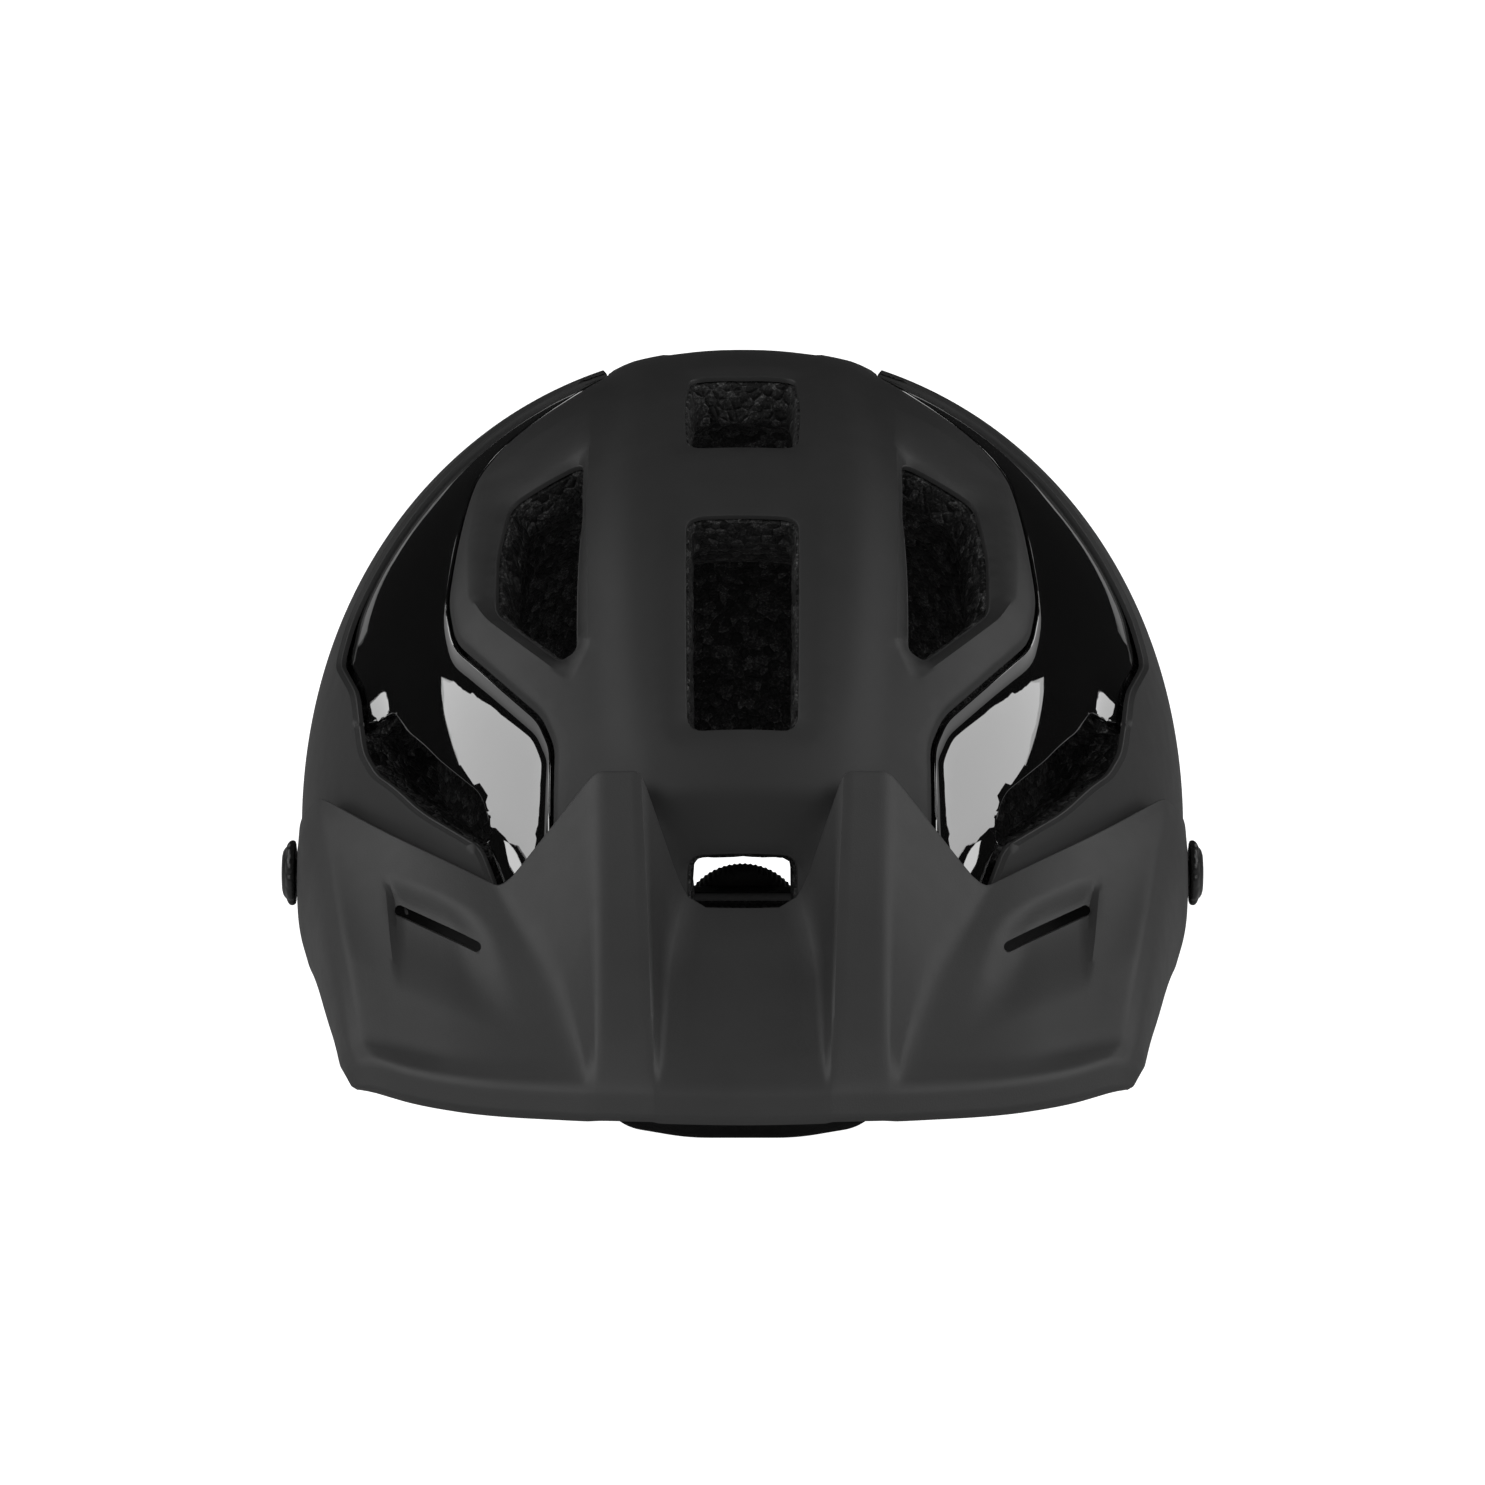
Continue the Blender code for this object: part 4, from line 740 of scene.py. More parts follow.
def make_foam():
    """The bead foam liner, with bead-sized unevenness down every vent wall."""
    outlines = [circle(100.0, 200), circle(SHELL_EDGE, 200), GLOSS_LINE, mirrored(GLOSS_LINE), *VENTS.values()]
    uv, triangles = triangulate(outlines, [], 1.5, 2.6, 100.0)
    middle = uv[triangles].mean(axis=1)
    solid = np.ones(len(triangles), bool)
    for outline in VENTS.values():
        solid &= ~is_inside(middle, outline)
    uv, triangles = used_only(uv, triangles[solid])
    edges, shift = border(uv, triangles)
    high = foam_height(uv)
    flared = uv.copy()
    for name, outline in VENTS.items():
        distance, step = away_from(uv, outline)
        step = np.where(distance[:, None] < 1e-3, shift, step)
        flared += step * (VENT_FLARE.get(name, 3.0) * np.clip(1 - distance / FLARE_REACH, 0, 1))[:, None]
    randomly = np.random.default_rng(7)
    outer, inner = surface_at(uv, OUTER_FORM, high), on_form(flared, INNER_FORM)
    straight = on_form(uv, INNER_FORM)
    rings = [surface_at(uv + shift * 0.5, OUTER_FORM, high), surface_at(uv + shift * 0.1, OUTER_FORM, high - 0.35)]
    for share in WALL_SHARES:
        open_by = ease((share - 0.40) / 0.25)
        wall = outer * (1 - share) + (straight * (1 - open_by) + inner * open_by) * share
        rings.append(wall + (randomly.random((len(uv), 3)) - 0.5) * BEAD_UNEVENNESS)
    rings += [on_form(flared + shift * 0.1, INNER_FORM), on_form(flared + shift * 0.5, INNER_FORM)]
    new_piece("foam_liner_fine", *layered(rings, edges, triangles), FOAM, "helmet", "foam", ("foam_liner",), 50.0)


# ---------------------------------------------------------------- visor


VISOR_ROWS = [
    [
        (0, -138, 76), (12, -137, 76), (22.4, -127, 104.4), (32.7, -124, 103.4), (53.5, -125, 76.3), (66, -111, 78),
        (82, -91, 79), (98, -56, 76), (EAR_FACE_X, -43, 66.5), (EAR_FACE_X, -36, 55), (EAR_FACE_X, -43, 43.5),
        (101.5, -55, 36.5),
    ],
    [
        (0, -142, 75), (13, -141, 75), (22, -134, 99), (32.5, -131, 98.4), (50.8, -132, 74.2), (64.8, -119, 75),
        (81.2, -97, 76), (97.4, -64, 74.6), (103.2, -60, 65.5), (EAR_FACE_X, -60.5, 55), (103.6, -60, 44.5),
        (101, -63, 37),
    ],
    [
        (0, -148, 73.5), (14.5, -147, 73), (21.4, -144, 92), (32.2, -141, 91), (47.5, -141, 71.5), (63, -130, 71),
        (80, -107, 71.5), (94.5, -82, 70.5), (98.7, -79, 63.5), (100.2, -77, 54.5), (99.8, -78, 45), (98, -80, 38.4),
    ],
    [
        (0, -158, 69.3), (16.5, -158, 68.8), (20.5, -160, 81.7), (31.6, -158, 81), (41.3, -158, 67.2),
        (60, -150, 63.5), (77.5, -134, 61), (89.5, -118, 62.5), (93.5, -114, 57.5), (94.7, -112, 51),
        (94.5, -112, 45.5), (93.6, -114, 41),
    ],
    [
        (0, -175, 64.8), (16.8, -175, 65), (19.8, -176, 73.8), (31.4, -175, 72.4), (37.6, -174, 62.4),
        (58.8, -165, 58.5), (75, -149, 56), (86.2, -136, 56.4), (90, -133, 53), (91.2, -131, 48.8), (91.2, -131, 45),
        (91, -132, 42.2),
    ],
    [
        (0, -192, 60), (17, -191.5, 60.4), (19.3, -191, 65.6), (31.2, -190, 64), (34.5, -189, 58.3),
        (58, -178.5, 54.6), (73, -163, 51.8), (83.5, -153, 50.6), (86.8, -151, 48.7), (88, -149.5, 46.4),
        (88.6, -149.5, 44.8), (88.8, -150, 43),
    ],
    [
        (0, -203, 56.6), (17, -202, 56.6), (19, -201.8, 56.8), (31, -199, 55.8), (34, -198, 55.5), (56, -188, 53),
        (71, -176, 51.2), (80.5, -164, 49.6), (84, -160.5, 47.8), (85.8, -158.3, 46.2), (86.8, -157.4, 44.8),
        (87.4, -156.4, 43.4),
    ],
    [
        (0, -205.5, 51), (17, -204.5, 51), (19, -204.2, 51), (31, -201.2, 50), (34, -200.2, 49.8), (56, -190, 47.4),
        (71, -178.2, 45.6), (80.6, -167, 44.2), (83.4, -164, 43.2), (84.6, -162.4, 42.8), (85.3, -161.2, 42.5),
        (85.8, -160.4, 42.2),
    ],
]
# How much of each side a corner's rounding takes up: small is crisp.
COLUMN_ROUNDING = (0.5, 0.3, 0.12, 0.12, 0.16, 0.45, 0.45, 0.16, 0.45, 0.45, 0.45, 0.4)
ROW_ROUNDING = (0.5, 0.45, 0.45, 0.45, 0.45, 0.2, 0.25, 0.5)
POCKET = {"left": ((80.9, -106.0), (77.7, -133.4)), "top": ((79.5, -106.0), (56.7, -134.0)),
          "right": ((56.7, -134.7), (49.1, -167.9))}
POCKET_DEPTH = 2.8
SLOT = ((77.0, -115.7, 67.7), (58.9, -139.3, 67.3))
SLOT_AXIS = (0.0, -1.0, 0.25)


def rounded_line(corners, rounding, parts):
    """Points on a line through corners, with each corner rounded and parts points for each side."""
    count = len(corners)
    made = []
    for k in range(count - 1):
        a, b = corners[k], corners[k + 1]
        cut_a = rounding[k] if k > 0 else 0.0
        cut_b = rounding[k + 1] if k + 2 < count else 0.0
        for t in np.linspace(0, 1, parts[k] + 1)[:parts[k] + (k + 2 >= count)]:
            if k > 0 and t < cut_a:
                start, end = a + (corners[k - 1] - a) * cut_a, a + (b - a) * cut_a
                made.append(quadratic(start, a, end, 0.5 + 0.5 * t / cut_a))
            elif k + 2 < count and t > 1 - cut_b:
                start, end = b + (a - b) * cut_b, b + (corners[k + 2] - b) * cut_b
                made.append(quadratic(start, b, end, 0.5 - 0.5 * (1 - t) / cut_b))
            else:
                made.append(a * (1 - t) + b * t)
    return np.array(made)


def grid_normals(points, upright):
    """Unit normals of a grid of points, turned so that the one at the given place looks up."""
    normals = np.cross(np.gradient(points, axis=0), np.gradient(points, axis=1))
    normals /= np.linalg.norm(normals, axis=2)[:, :, None]
    return normals * np.sign(normals[upright][2])


def coarse_visor():
    """The visor's control points: outer and inner, both halves."""
    rows = [[(-x, y, z) for x, y, z in reversed(row[1:])] + [tuple(p) for p in row] for row in VISOR_ROWS]
    points = np.array(rows, float)
    normals = grid_normals(points, (3, len(rows[0]) // 2))
    normals[6:] = normals[5]
    normals[5:, :3], normals[5:, -3:] = normals[5:, 3:4], normals[5:, -4:-3]
    inner = points - normals * VISOR_THICKNESS
    ear = np.abs(points[:, :, 0]) > EAR_FACE_X - 1.0
    inner[ear] = points[ear]
    inner[ear, 0] = np.sign(points[ear][:, 0]) * (EAR_FACE_X - VISOR_THICKNESS)
    return points, inner


def dense_visor(control):
    columns = list(COLUMN_ROUNDING[:0:-1]) + list(COLUMN_ROUNDING)
    side = [3, 10, 8, 10, 12, 14, 16, 12, 8, 8, 8]
    parts = side[::-1] + side
    rows = rounded_line(control, ROW_ROUNDING, [9, 9, 11, 14, 14, 12, 8])
    made = rounded_line(np.swapaxes(rows, 0, 1), columns, parts)
    return np.swapaxes(made, 0, 1)


def line_side(at, ends):
    """Signed distance from a line through two plan points: positive to its right, seen from above."""
    a, b = np.array(ends[0]), np.array(ends[1])
    run = (b - a) / np.linalg.norm(b - a)
    off = at - a
    return off[..., 0] * run[1] - off[..., 1] * run[0]


def pocket_depth(points):
    """The pressed panel round the slot: sharp at its outer and upper edges, fading out toward the lip."""
    at = np.stack([np.abs(points[..., 0]), points[..., 1]], axis=-1)
    middle = np.array([68.0, -128.0])

    def within(ends):
        return line_side(at, ends) * np.sign(line_side(middle, ends))

    left, top, right = (within(POCKET[k]) for k in ("left", "top", "right"))
    fade = 1 - ease((top - 4.0) / 17.0)
    return POCKET_DEPTH * ease(left / 1.3) * ease((top + 1.0) / 5.0) * ease((right + 1.0) / 9.0) * fade


def stadium(ends, width, axis, reach):
    """A slot cutter with round ends, standing along an axis."""
    a, b = (Vector(p) for p in ends)
    axis = Vector(axis).normalized()
    along = ((b - a) - axis * (b - a).dot(axis)).normalized()
    side = axis.cross(along)
    ring = []
    for centre, turn in ((b, 0.0), (a, math.pi)):
        for k in range(9):
            t = turn - math.pi / 2 + math.pi * k / 8
            ring.append(centre + (along * math.cos(t) + side * math.sin(t)) * width / 2)
    return tube_of([[p + axis * shift for p in ring] for shift in (-reach, reach)])


def tube_of(rings, bore=False):
    """A closed solid through rings of the same number of points: capped, or joined end to end where it has a bore."""
    count, total = len(rings[0]), len(rings)
    points = [p for ring in rings for p in ring]
    faces = []
    for r in range(total if bore else total - 1):
        low, high = r * count, (r + 1) % total * count
        faces += [(low + k, low + (k + 1) % count, high + (k + 1) % count, high + k) for k in range(count)]
    if not bore:
        faces += [tuple(reversed(range(count))), tuple(range(len(points) - count, len(points)))]
    return points, outward(points, faces)


def block(name, outline, ends, surface, body, slot, bevel):
    """A small bevelled block: each end is a function that puts one point of the outline in place."""
    obj = new_piece(name, *tube_of([[Vector(end(*p)) for p in outline] for end in ends]), surface, body, slot)
    return resharpened(applied(obj, bevelled(*bevel)))


def outward(points, faces):
    """The faces, turned so that all of them look out of the solid."""
    mesh = bmesh.new()
    made = [mesh.verts.new(Vector(p)) for p in points]
    for face in faces:
        mesh.faces.new([made[i] for i in face])
    bmesh.ops.recalc_face_normals(mesh, faces=mesh.faces)
    if mesh.calc_volume(signed=True) < 0:
        bmesh.ops.reverse_faces(mesh, faces=mesh.faces)
    mesh.verts.index_update()
    looking_out = [tuple(v.index for v in f.verts) for f in mesh.faces]
    mesh.free()
    return looking_out


def make_visor():
    outer, inner = (dense_visor(c) for c in coarse_visor())
    sunk = grid_normals(outer, (40, outer.shape[1] // 2)) * pocket_depth(outer)[:, :, None]
    outer, inner = outer - sunk, inner - sunk
    high, wide = outer.shape[:2]
    edges = [(0, c) for c in range(wide)] + [(r, wide - 1) for r in range(1, high)]
    edges += [(high - 1, c) for c in range(wide - 2, -1, -1)] + [(r, 0) for r in range(high - 2, 0, -1)]

    def tucked(sheet):
        """The sheet with its border drawn in by half a millimetre."""
        moved = sheet.copy()
        for r, c in edges:
            inside = sheet[min(max(r, 1), high - 2), min(max(c, 1), wide - 2)]
            step = inside - sheet[r, c]
            moved[r, c] += step / max(np.linalg.norm(step), 1e-9) * min(0.45, np.linalg.norm(step) * 0.6)
        return moved

    top, under = tucked(outer), tucked(inner)
    points = [top.reshape(-1, 3), under.reshape(-1, 3)]
    count = high * wide
    rim = []
    for share in (0.12, 0.35, 0.65, 0.88):
        first = 2 * count + len(rim) * len(edges)
        points.append(np.array([outer[r, c] * (1 - share) + inner[r, c] * share for r, c in edges]))
        rim.append([first + k for k in range(len(edges))])
    loops = [[r * wide + c for r, c in edges], *rim, [count + r * wide + c for r, c in edges]]
    faces = []
    for r in range(high - 1):
        for c in range(wide - 1):
            quad = (r * wide + c, r * wide + c + 1, (r + 1) * wide + c + 1, (r + 1) * wide + c)
            faces += [quad, tuple(i + count for i in reversed(quad))]
    for a, b in zip(loops, loops[1:]):
        faces += [(a[k], a[(k + 1) % len(a)], b[(k + 1) % len(a)], b[k]) for k in range(len(a))]
    points = np.vstack(points)
    obj = new_piece("visor_fine", points, outward(points, faces), VISOR, None, None, smooth=25.0)
    cutters = []
    for flip in (-1, 1):
        ends = [(flip * x, y, z) for x, y, z in SLOT]
        cutters.append(stadium(ends, 2.3, SLOT_AXIS, 7.0))
        ring = [Vector((flip * 90.0, PIVOT.y + 3.6 * c, PIVOT.z + 3.6 * s)) for c, s in circle(1.0, 40)]
        cutters.append(tube_of([ring, [p + Vector((flip * 30.0, 0, 0)) for p in ring]]))
    for k, (cut_points, cut_faces) in enumerate(cutters):
        cutter = new_piece(f"cutter_{k}", cut_points, cut_faces, VISOR, None, None)
        applied(obj, ("BOOLEAN", {"operation": "DIFFERENCE", "solver": "EXACT", "object": cutter}))
        bpy.data.objects.remove(cutter)
    entered(resharpened(obj, 32.0), "visor", "shell", ("visor",))


# ---------------------------------------------------------------- pads


def meshed(outline, step):
    """A triangulated shape with its outline's points as given."""
    line = subdivided([tuple(p) for p in outline], step)
    fixed = np.array(line)
    low, high = fixed.min(axis=0), fixed.max(axis=0)
    grid = np.array([
        (x + (step / 2 if j % 2 else 0.0), y)
        for j, y in enumerate(np.arange(low[1], high[1], step * ROW_PITCH))
        for x in np.arange(low[0], high[0], step)
    ])
    grid = grid[signed_distance(grid, fixed) > KEEP_OFF * step]
    edges = [(k, (k + 1) % len(line)) for k in range(len(line))]
    return flat_mesh([*line, *map(tuple, grid)], edges, 1)


def quarter_round(distance, radius):
    return np.sqrt(1 - (1 - np.clip(distance / radius, 0, 1)) ** 2)


def cushion(name, outline, place, depth, body, channels, scale, step=0.8):
    """A sewn pad: flat on its mount, crowned toward the wearer, pulled in along its channels and its seam.

    place(uv, depth) gives points, and scale is millimetres for each unit of the outline.
    """
    uv, triangles = meshed(outline, step)
    inside = edge_distance(uv, outline) * scale
    under = 0.8 * (1 - quarter_round(inside, 1.6))
    rise = (depth - 1.2) * (0.74 * quarter_round(inside, 3.6) + 0.26 * ease(inside / 9.0))
    for line in channels:
        across = edge_distance(uv, line, closed=False) * scale
        rise *= 1 - 0.5 * np.exp(-((across / 1.3) ** 2))
    rise -= 0.35 * np.exp(-(((inside - 2.2) / 0.5) ** 2))
    points, faces = layered([place(uv, 1.2 + rise), place(uv, under)], border(uv, triangles)[0], triangles)
    piece = new_piece(name + "_sewn", points, outward(points, faces), CLOTH, body, "pad", (name,), 70.0)


def inside_liner(near):
    return lambda uv, depth: surface_at(uv, INNER_FORM, -near - depth)


def bearing_line(bearings, share):
    return [(math.sin(math.radians(b)) * share, -math.cos(math.radians(b)) * share) for b in bearings]


def band(bearings, low, high):
    """A pad outline between two distances from the crown."""
    return fillet(bearing_line(bearings, low) + bearing_line(bearings[::-1], high), 2.2)


def spoke(bearing, low, high):
    return [bearing_line([bearing], low)[0], bearing_line([bearing], high)[0]]


def nape_wrap(x):
    """How far the nape cradle curves forward at its sides."""
    return np.maximum(np.abs(x) - 25.0, 0.0) ** 2 / 70.0


def make_pads():
    near, depth, scale = 3.6, 5.4, 1.35
    brow = band([-46 + 92 * k / 20 for k in range(21)], 86.0, 96.0)
    spokes = [spoke(b, 87.2, 94.8) for b in (-34.5, -23.0, -11.5, 0.0, 11.5, 23.0, 34.5)]
    cushion("brow_pad", brow, inside_liner(near), depth, "helmet", spokes, scale)
    for name, side in SIDES:
        crown = fillet([(side * u, v) for u, v in ((9.5, -46), (16.5, -46), (16.5, 10), (9.5, 10))], 2.6)
        bars = [[(side * 10.5, v), (side * 15.5, v)] for v in (-36.7, -27.3, -18.0, -8.7, 0.7)]
        cushion(f"crown_pad_{name}", crown, inside_liner(near), depth, "helmet", bars, scale)
        cheek = band([side * (70 + 48 * k / 12) for k in range(13)], 56.0, 70.0)
        ribs = [spoke(side * b, 57.5, 68.5) for b in (82.0, 94.0, 106.0)]
        cushion(f"side_pad_{name}", cheek, inside_liner(near), depth, "helmet", ribs, scale)
        nape = fillet([(side * x, z) for x, z in ((15, -12), (33, -12), (33, -26), (15, -26))], 4.0)

        def on_cradle(at, deep):
            return np.stack([at[:, 0], 90.2 - nape_wrap(at[:, 0]) - deep, at[:, 1]], axis=1)

        cushion(f"nape_pad_{name}", nape, on_cradle, 3.6, "cradle", [[(side * 24, -14), (side * 24, -24)]], 1.0, 0.7)


# ---------------------------------------------------------------- webbing


def outward_in_plan(point):
    return Vector((point[0], point[1] - WIDEST_Y, 0.0))


def smooth_path(points, count):
    """count points on a Catmull-Rom curve through the given ones."""
    points = [Vector(p) for p in points]
    ends = [points[0] * 2 - points[1], *points, points[-1] * 2 - points[-2]]
    made = []
    for k in range(count):
        at = k / (count - 1) * (len(points) - 1)
        i = min(int(at), len(points) - 2)
        t = at - i
        a, b, c, d = ends[i:i + 4]
        made.append((b * 2 + (c - a) * t + (a * 2 - b * 5 + c * 4 - d) * t**2 + (b * 3 - a - c * 3 + d) * t**3) * 0.5)
    return made


def hanging_curve(start, leaving, end, arriving, count):
    """count points on a curve that leaves along one vector and arrives along another."""
    a, b = start + leaving, end - arriving
    made = []
    for k in range(count):
        t = k / (count - 1)
        r = 1.0 - t
        made.append(start * r**3 + a * (3 * r * r * t) + b * (3 * r * t * t) + end * t**3)
    return made


def ribbon(name, path, surface, body, slot, replaces=(), width=15.0, thickness=1.2, facing=outward_in_plan):
    """A flat strap with rounded edges along a path; its UV map runs in millimetres, across it and along it."""
    half, deep = width / 2, thickness / 2
    section = []
    for k in range(9):
        t = math.radians(22.5 * k)
        section.append((half - deep + deep * math.sin(t), deep * math.cos(t)))
    flat = [(x, 1.0) for x in np.linspace(-(half - deep), half - deep, 9)[1:-1]]
    ring = [(x, deep) for x, _ in flat] + section + [(x, -deep) for x, _ in reversed(flat)]
    ring += [(-x, -z) for x, z in section]
    rings, uv, run = [], [], 0.0
    bow = 0.12 * thickness
    for i, point in enumerate(path):
        along = (path[min(i + 1, len(path) - 1)] - path[max(i - 1, 0)]).normalized()
        face = facing(point)
        face = (face - along * face.dot(along)).normalized()
        side = along.cross(face).normalized()
        run += (point - path[max(i - 1, 0)]).length
        rings.append([point + side * x + face * (z * (1 + bow * (1 - (x / half) ** 2))) for x, z in ring])
        uv += [(x if z > 0 else x + width, run) for x, z in ring]
    return new_piece(name, *tube_of(rings), surface, body, slot, replaces, 50.0, uv)


DIVIDER = Vector((76.0, 22.0, -7.5))
DIVIDER_SIZE = (4.6, 26.0, 25.0)
STRAP_RUNS = {"front": (64.0, 19.0, (0.0, 15.0, -3.5)), "rear": (134.0, 15.0, (0.0, -14.0, 3.0))}
BUCKLE_ENDS = (Vector((54.5, 82.5, -33.0)), Vector((70.0, 58.0, -24.5)))
YOKE_ENDS = (Vector((73.8, 47.5, -21.5)), Vector((-73.2, 47.5, -21.5)))
NAPE_LOOP = [
    (41, 94.8, -37.5), (25, 98.2, -39), (0, 98.8, -40), (-25, 98.2, -39), (-42, 94.2, -36.5), (-56, 79, -30),
    (-68, 58, -24), (-73.2, 47.5, -21.5),
]
KEEPER_X = -55.0


def rim_middle(bearing_degrees):
    turn = math.radians(bearing_degrees)
    uv = np.array([[math.sin(turn) * 100.0, -math.cos(turn) * 100.0]])
    return Vector((on_form(uv, OUTER_FORM)[0] + on_form(uv, INNER_FORM)[0]) / 2)


def make_straps():
    for name, side in SIDES:
        flip = Vector((side, 1, 1))
        for where, (bearing, leaving, arriving) in STRAP_RUNS.items():
            top = rim_middle(bearing)
            run = (rim_middle(bearing + 3.0) - rim_middle(bearing - 3.0)).normalized()
            down = run.cross(outward_in_plan(top).normalized()).normalized()
            down *= -1 if down.z > 0 else 1
            toward = -1 if where == "front" else 1
            end = DIVIDER + Vector((0, toward * (DIVIDER_SIZE[1] / 2 + 2.6), 4.0))
            curve = hanging_curve(top + down * 5.0, down * leaving, end, Vector(arriving), 48)
            node = f"strap_{where}_{name}"
            ribbon(node + "_woven", [p * flip for p in curve], WEB, "helmet", "webbing", (node,))
            refined(f"strap_anchor_{where}_{name}", NYLON, "helmet", "nylon", 0.9, 3)
        refined(f"strap_divider_{name}", NYLON, "helmet", "nylon", 1.5, 4)
        lever(name, side)
        tail = YOKE_ENDS[0] if side > 0 else YOKE_ENDS[1]
        start = DIVIDER * flip + Vector((0, DIVIDER_SIZE[1] / 2 - 1.5, -4.5))
        curve = hanging_curve(start, Vector((0, 5.0, -2.0)), tail, Vector((side * -0.9, 4.2, -1.2)), 16)
        bridge = ribbon(f"chin_strap_bridge_{name}", curve, WEB, None, "webbing")
        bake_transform(bridge)

    along = (BUCKLE_ENDS[1] - BUCKLE_ENDS[0]).normalized()
    loop = [BUCKLE_ENDS[0] - along * 1.0, BUCKLE_ENDS[0] - along * 5.0, *(Vector(p) for p in NAPE_LOOP)]
    ribbon("chin_strap_long_woven", smooth_path(loop, 200), WEB, "yoke", "webbing", ("chin_strap_long",))
    coarse = smooth_path(loop, 40)
    held = min(range(40), key=lambda k: abs(coarse[k].x - KEEPER_X))
    folded = [p + outward_in_plan(p).normalized() * 2.1 for p in coarse[2:held + 4]]
    ribbon("chin_strap_tail_woven", smooth_path(folded, 150), WEB, "yoke", "webbing", ("chin_strap_tail",))
    start, end = YOKE_ENDS[0], BUCKLE_ENDS[1] + along * 1.0
    curve = hanging_curve(start, Vector((-1.0, 3.0, -0.9)), end, along * -3.0, 14)
    short = ribbon("chin_strap_short_woven", curve, WEB, None, "webbing", ("chin_strap_short",))
    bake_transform(short)
    refined("strap_keeper", RUBBER, "yoke", "rubber", 0.7, 3)
    refined("buckle_base", HARDWARE, "yoke", "hardware", 0.5, 3)
    refined("buckle_tongue", HARDWARE, "buckle_tongue", "hardware", 0.5, 3)


def lever(name, side):
    """The divider's lock lever: a curved tab across its outer face."""
    profile = [(-5.2, 0.0), (-5.0, 0.7), (-3.6, 1.35), (-1.2, 1.6), (2.4, 1.5), (4.6, 1.05), (5.6, 0.5), (5.8, 0.0)]
    x = DIVIDER.x + DIVIDER_SIZE[0] / 2 - 0.4
    ends = [lambda z, up, y=y: (side * (x + up), DIVIDER.y + y, DIVIDER.z + 1.5 + z) for y in (-10.5, 10.5)]
    block(f"strap_divider_{name}_lever", profile, ends, NYLON, "helmet", "nylon", (0.35, 2, 30.0))


# ---------------------------------------------------------------- fittings


def turned(node, profile, centre, axis, surface, body, slot, count, bore=False, ripple=None, smooth=30.0):
    """A node's finer copy, turned about an axis: profile holds (distance along, radius); ripple changes a radius."""
    axis = Vector(axis).normalized()
    side = axis.orthogonal().normalized()
    other = axis.cross(side)
    rings = []
    for along, radius in profile:
        ring = []
        for k in range(count):
            turn = 2 * math.pi * k / count
            r = ripple(turn, radius) if ripple else radius
            ring.append(Vector(centre) + axis * along + (side * math.cos(turn) + other * math.sin(turn)) * r)
        rings.append(ring)
    return new_piece(node + "_fine", *tube_of(rings, bore), surface, body, slot, (node,), smooth)


INSERT_PROFILE = [
    (91.0, 3.8), (91.0, 7.2), (91.3, 7.5), (93.4, 7.5), (93.7, 7.1), (97.5, 7.1), (97.8, 7.5), (100.1, 7.5),
    (100.4, 7.2), (100.4, 3.8), (100.1, 3.45), (91.3, 3.45),
]
DETENT_PROFILE = [
    (100.8, 3.8), (100.8, 7.3), (100.95, 7.5), (101.3, 7.5), (101.5, 7.2), (101.5, 3.8), (101.3, 3.62), (101.0, 3.62),
]
SCREW_PROFILE = [
    (93.0, 2.6), (93.5, 3.0), (104.4, 3.0), (104.4, 7.0), (104.55, 7.45), (104.9, 7.68), (105.4, 7.7), (105.85, 7.5),
    (106.2, 7.05), (106.45, 6.5), (106.6, 6.1), (106.95, 5.75), (107.3, 5.2), (107.52, 4.4), (107.6, 3.4),
    (107.6, 2.5), (107.45, 2.3), (106.2, 2.2),
]
DIAL_PROFILE = [
    (4.7, 14.2), (5.0, 15.0), (5.6, 15.7), (6.4, 16.0), (11.4, 16.0), (12.2, 15.7), (12.9, 15.1), (13.35, 14.3),
    (13.6, 13.3), (13.6, 12.4), (13.2, 12.0), (13.0, 11.4), (13.0, 8.2), (13.15, 7.6), (13.35, 7.2), (13.35, 6.6),
    (13.15, 6.2), (12.8, 5.8), (12.6, 4.0),
]

PLUG_PROFILE = [(1.4, 5.9), (1.4, 6.3), (1.6, 6.5), (2.6, 6.5), (2.8, 6.2)]


def knurled(turn, radius):
    return radius - 0.16 * (1 - math.cos(turn * 36)) if radius > 7.4 else radius


def lobed(turn, radius):
    """The visor screw's head: twelve shallow lobes, and a hexagonal recess."""
    if radius > 6.9:
        return radius * (1 - 0.012 * (1 + math.cos(turn * 12)) ** 2)
    if 2.1 < radius < 2.55:
        return radius * 0.9 / max(abs(math.cos((turn + math.pi / 6) % (math.pi / 3) - math.pi / 6)), 0.5)
    return radius


def ribbed(turn, radius):
    """The fit dial's rim, with 72 fine ribs."""
    return radius - 0.3 * (0.5 + 0.5 * math.cos(turn * 72)) if radius >= 13.0 else radius


def make_visor_fittings():
    for name, side in SIDES:
        at = ((0.0, PIVOT.y, PIVOT.z), (side, 0, 0))
        insert, screw = f"visor_insert_{name}", f"visor_screw_{name}"
        turned(insert, INSERT_PROFILE, *at, METAL, "helmet", "insert", 144, True, knurled)
        turned(f"detent_ring_{name}", DETENT_PROFILE, *at, HARDWARE, "helmet", "hardware", 96, True)
        turned(screw, SCREW_PROFILE, *at, HARDWARE, screw, "hardware", 144, False, lobed, 38.0)


RACK_HEIGHT = 7.7
TOOTH_PITCH = math.pi * 0.9


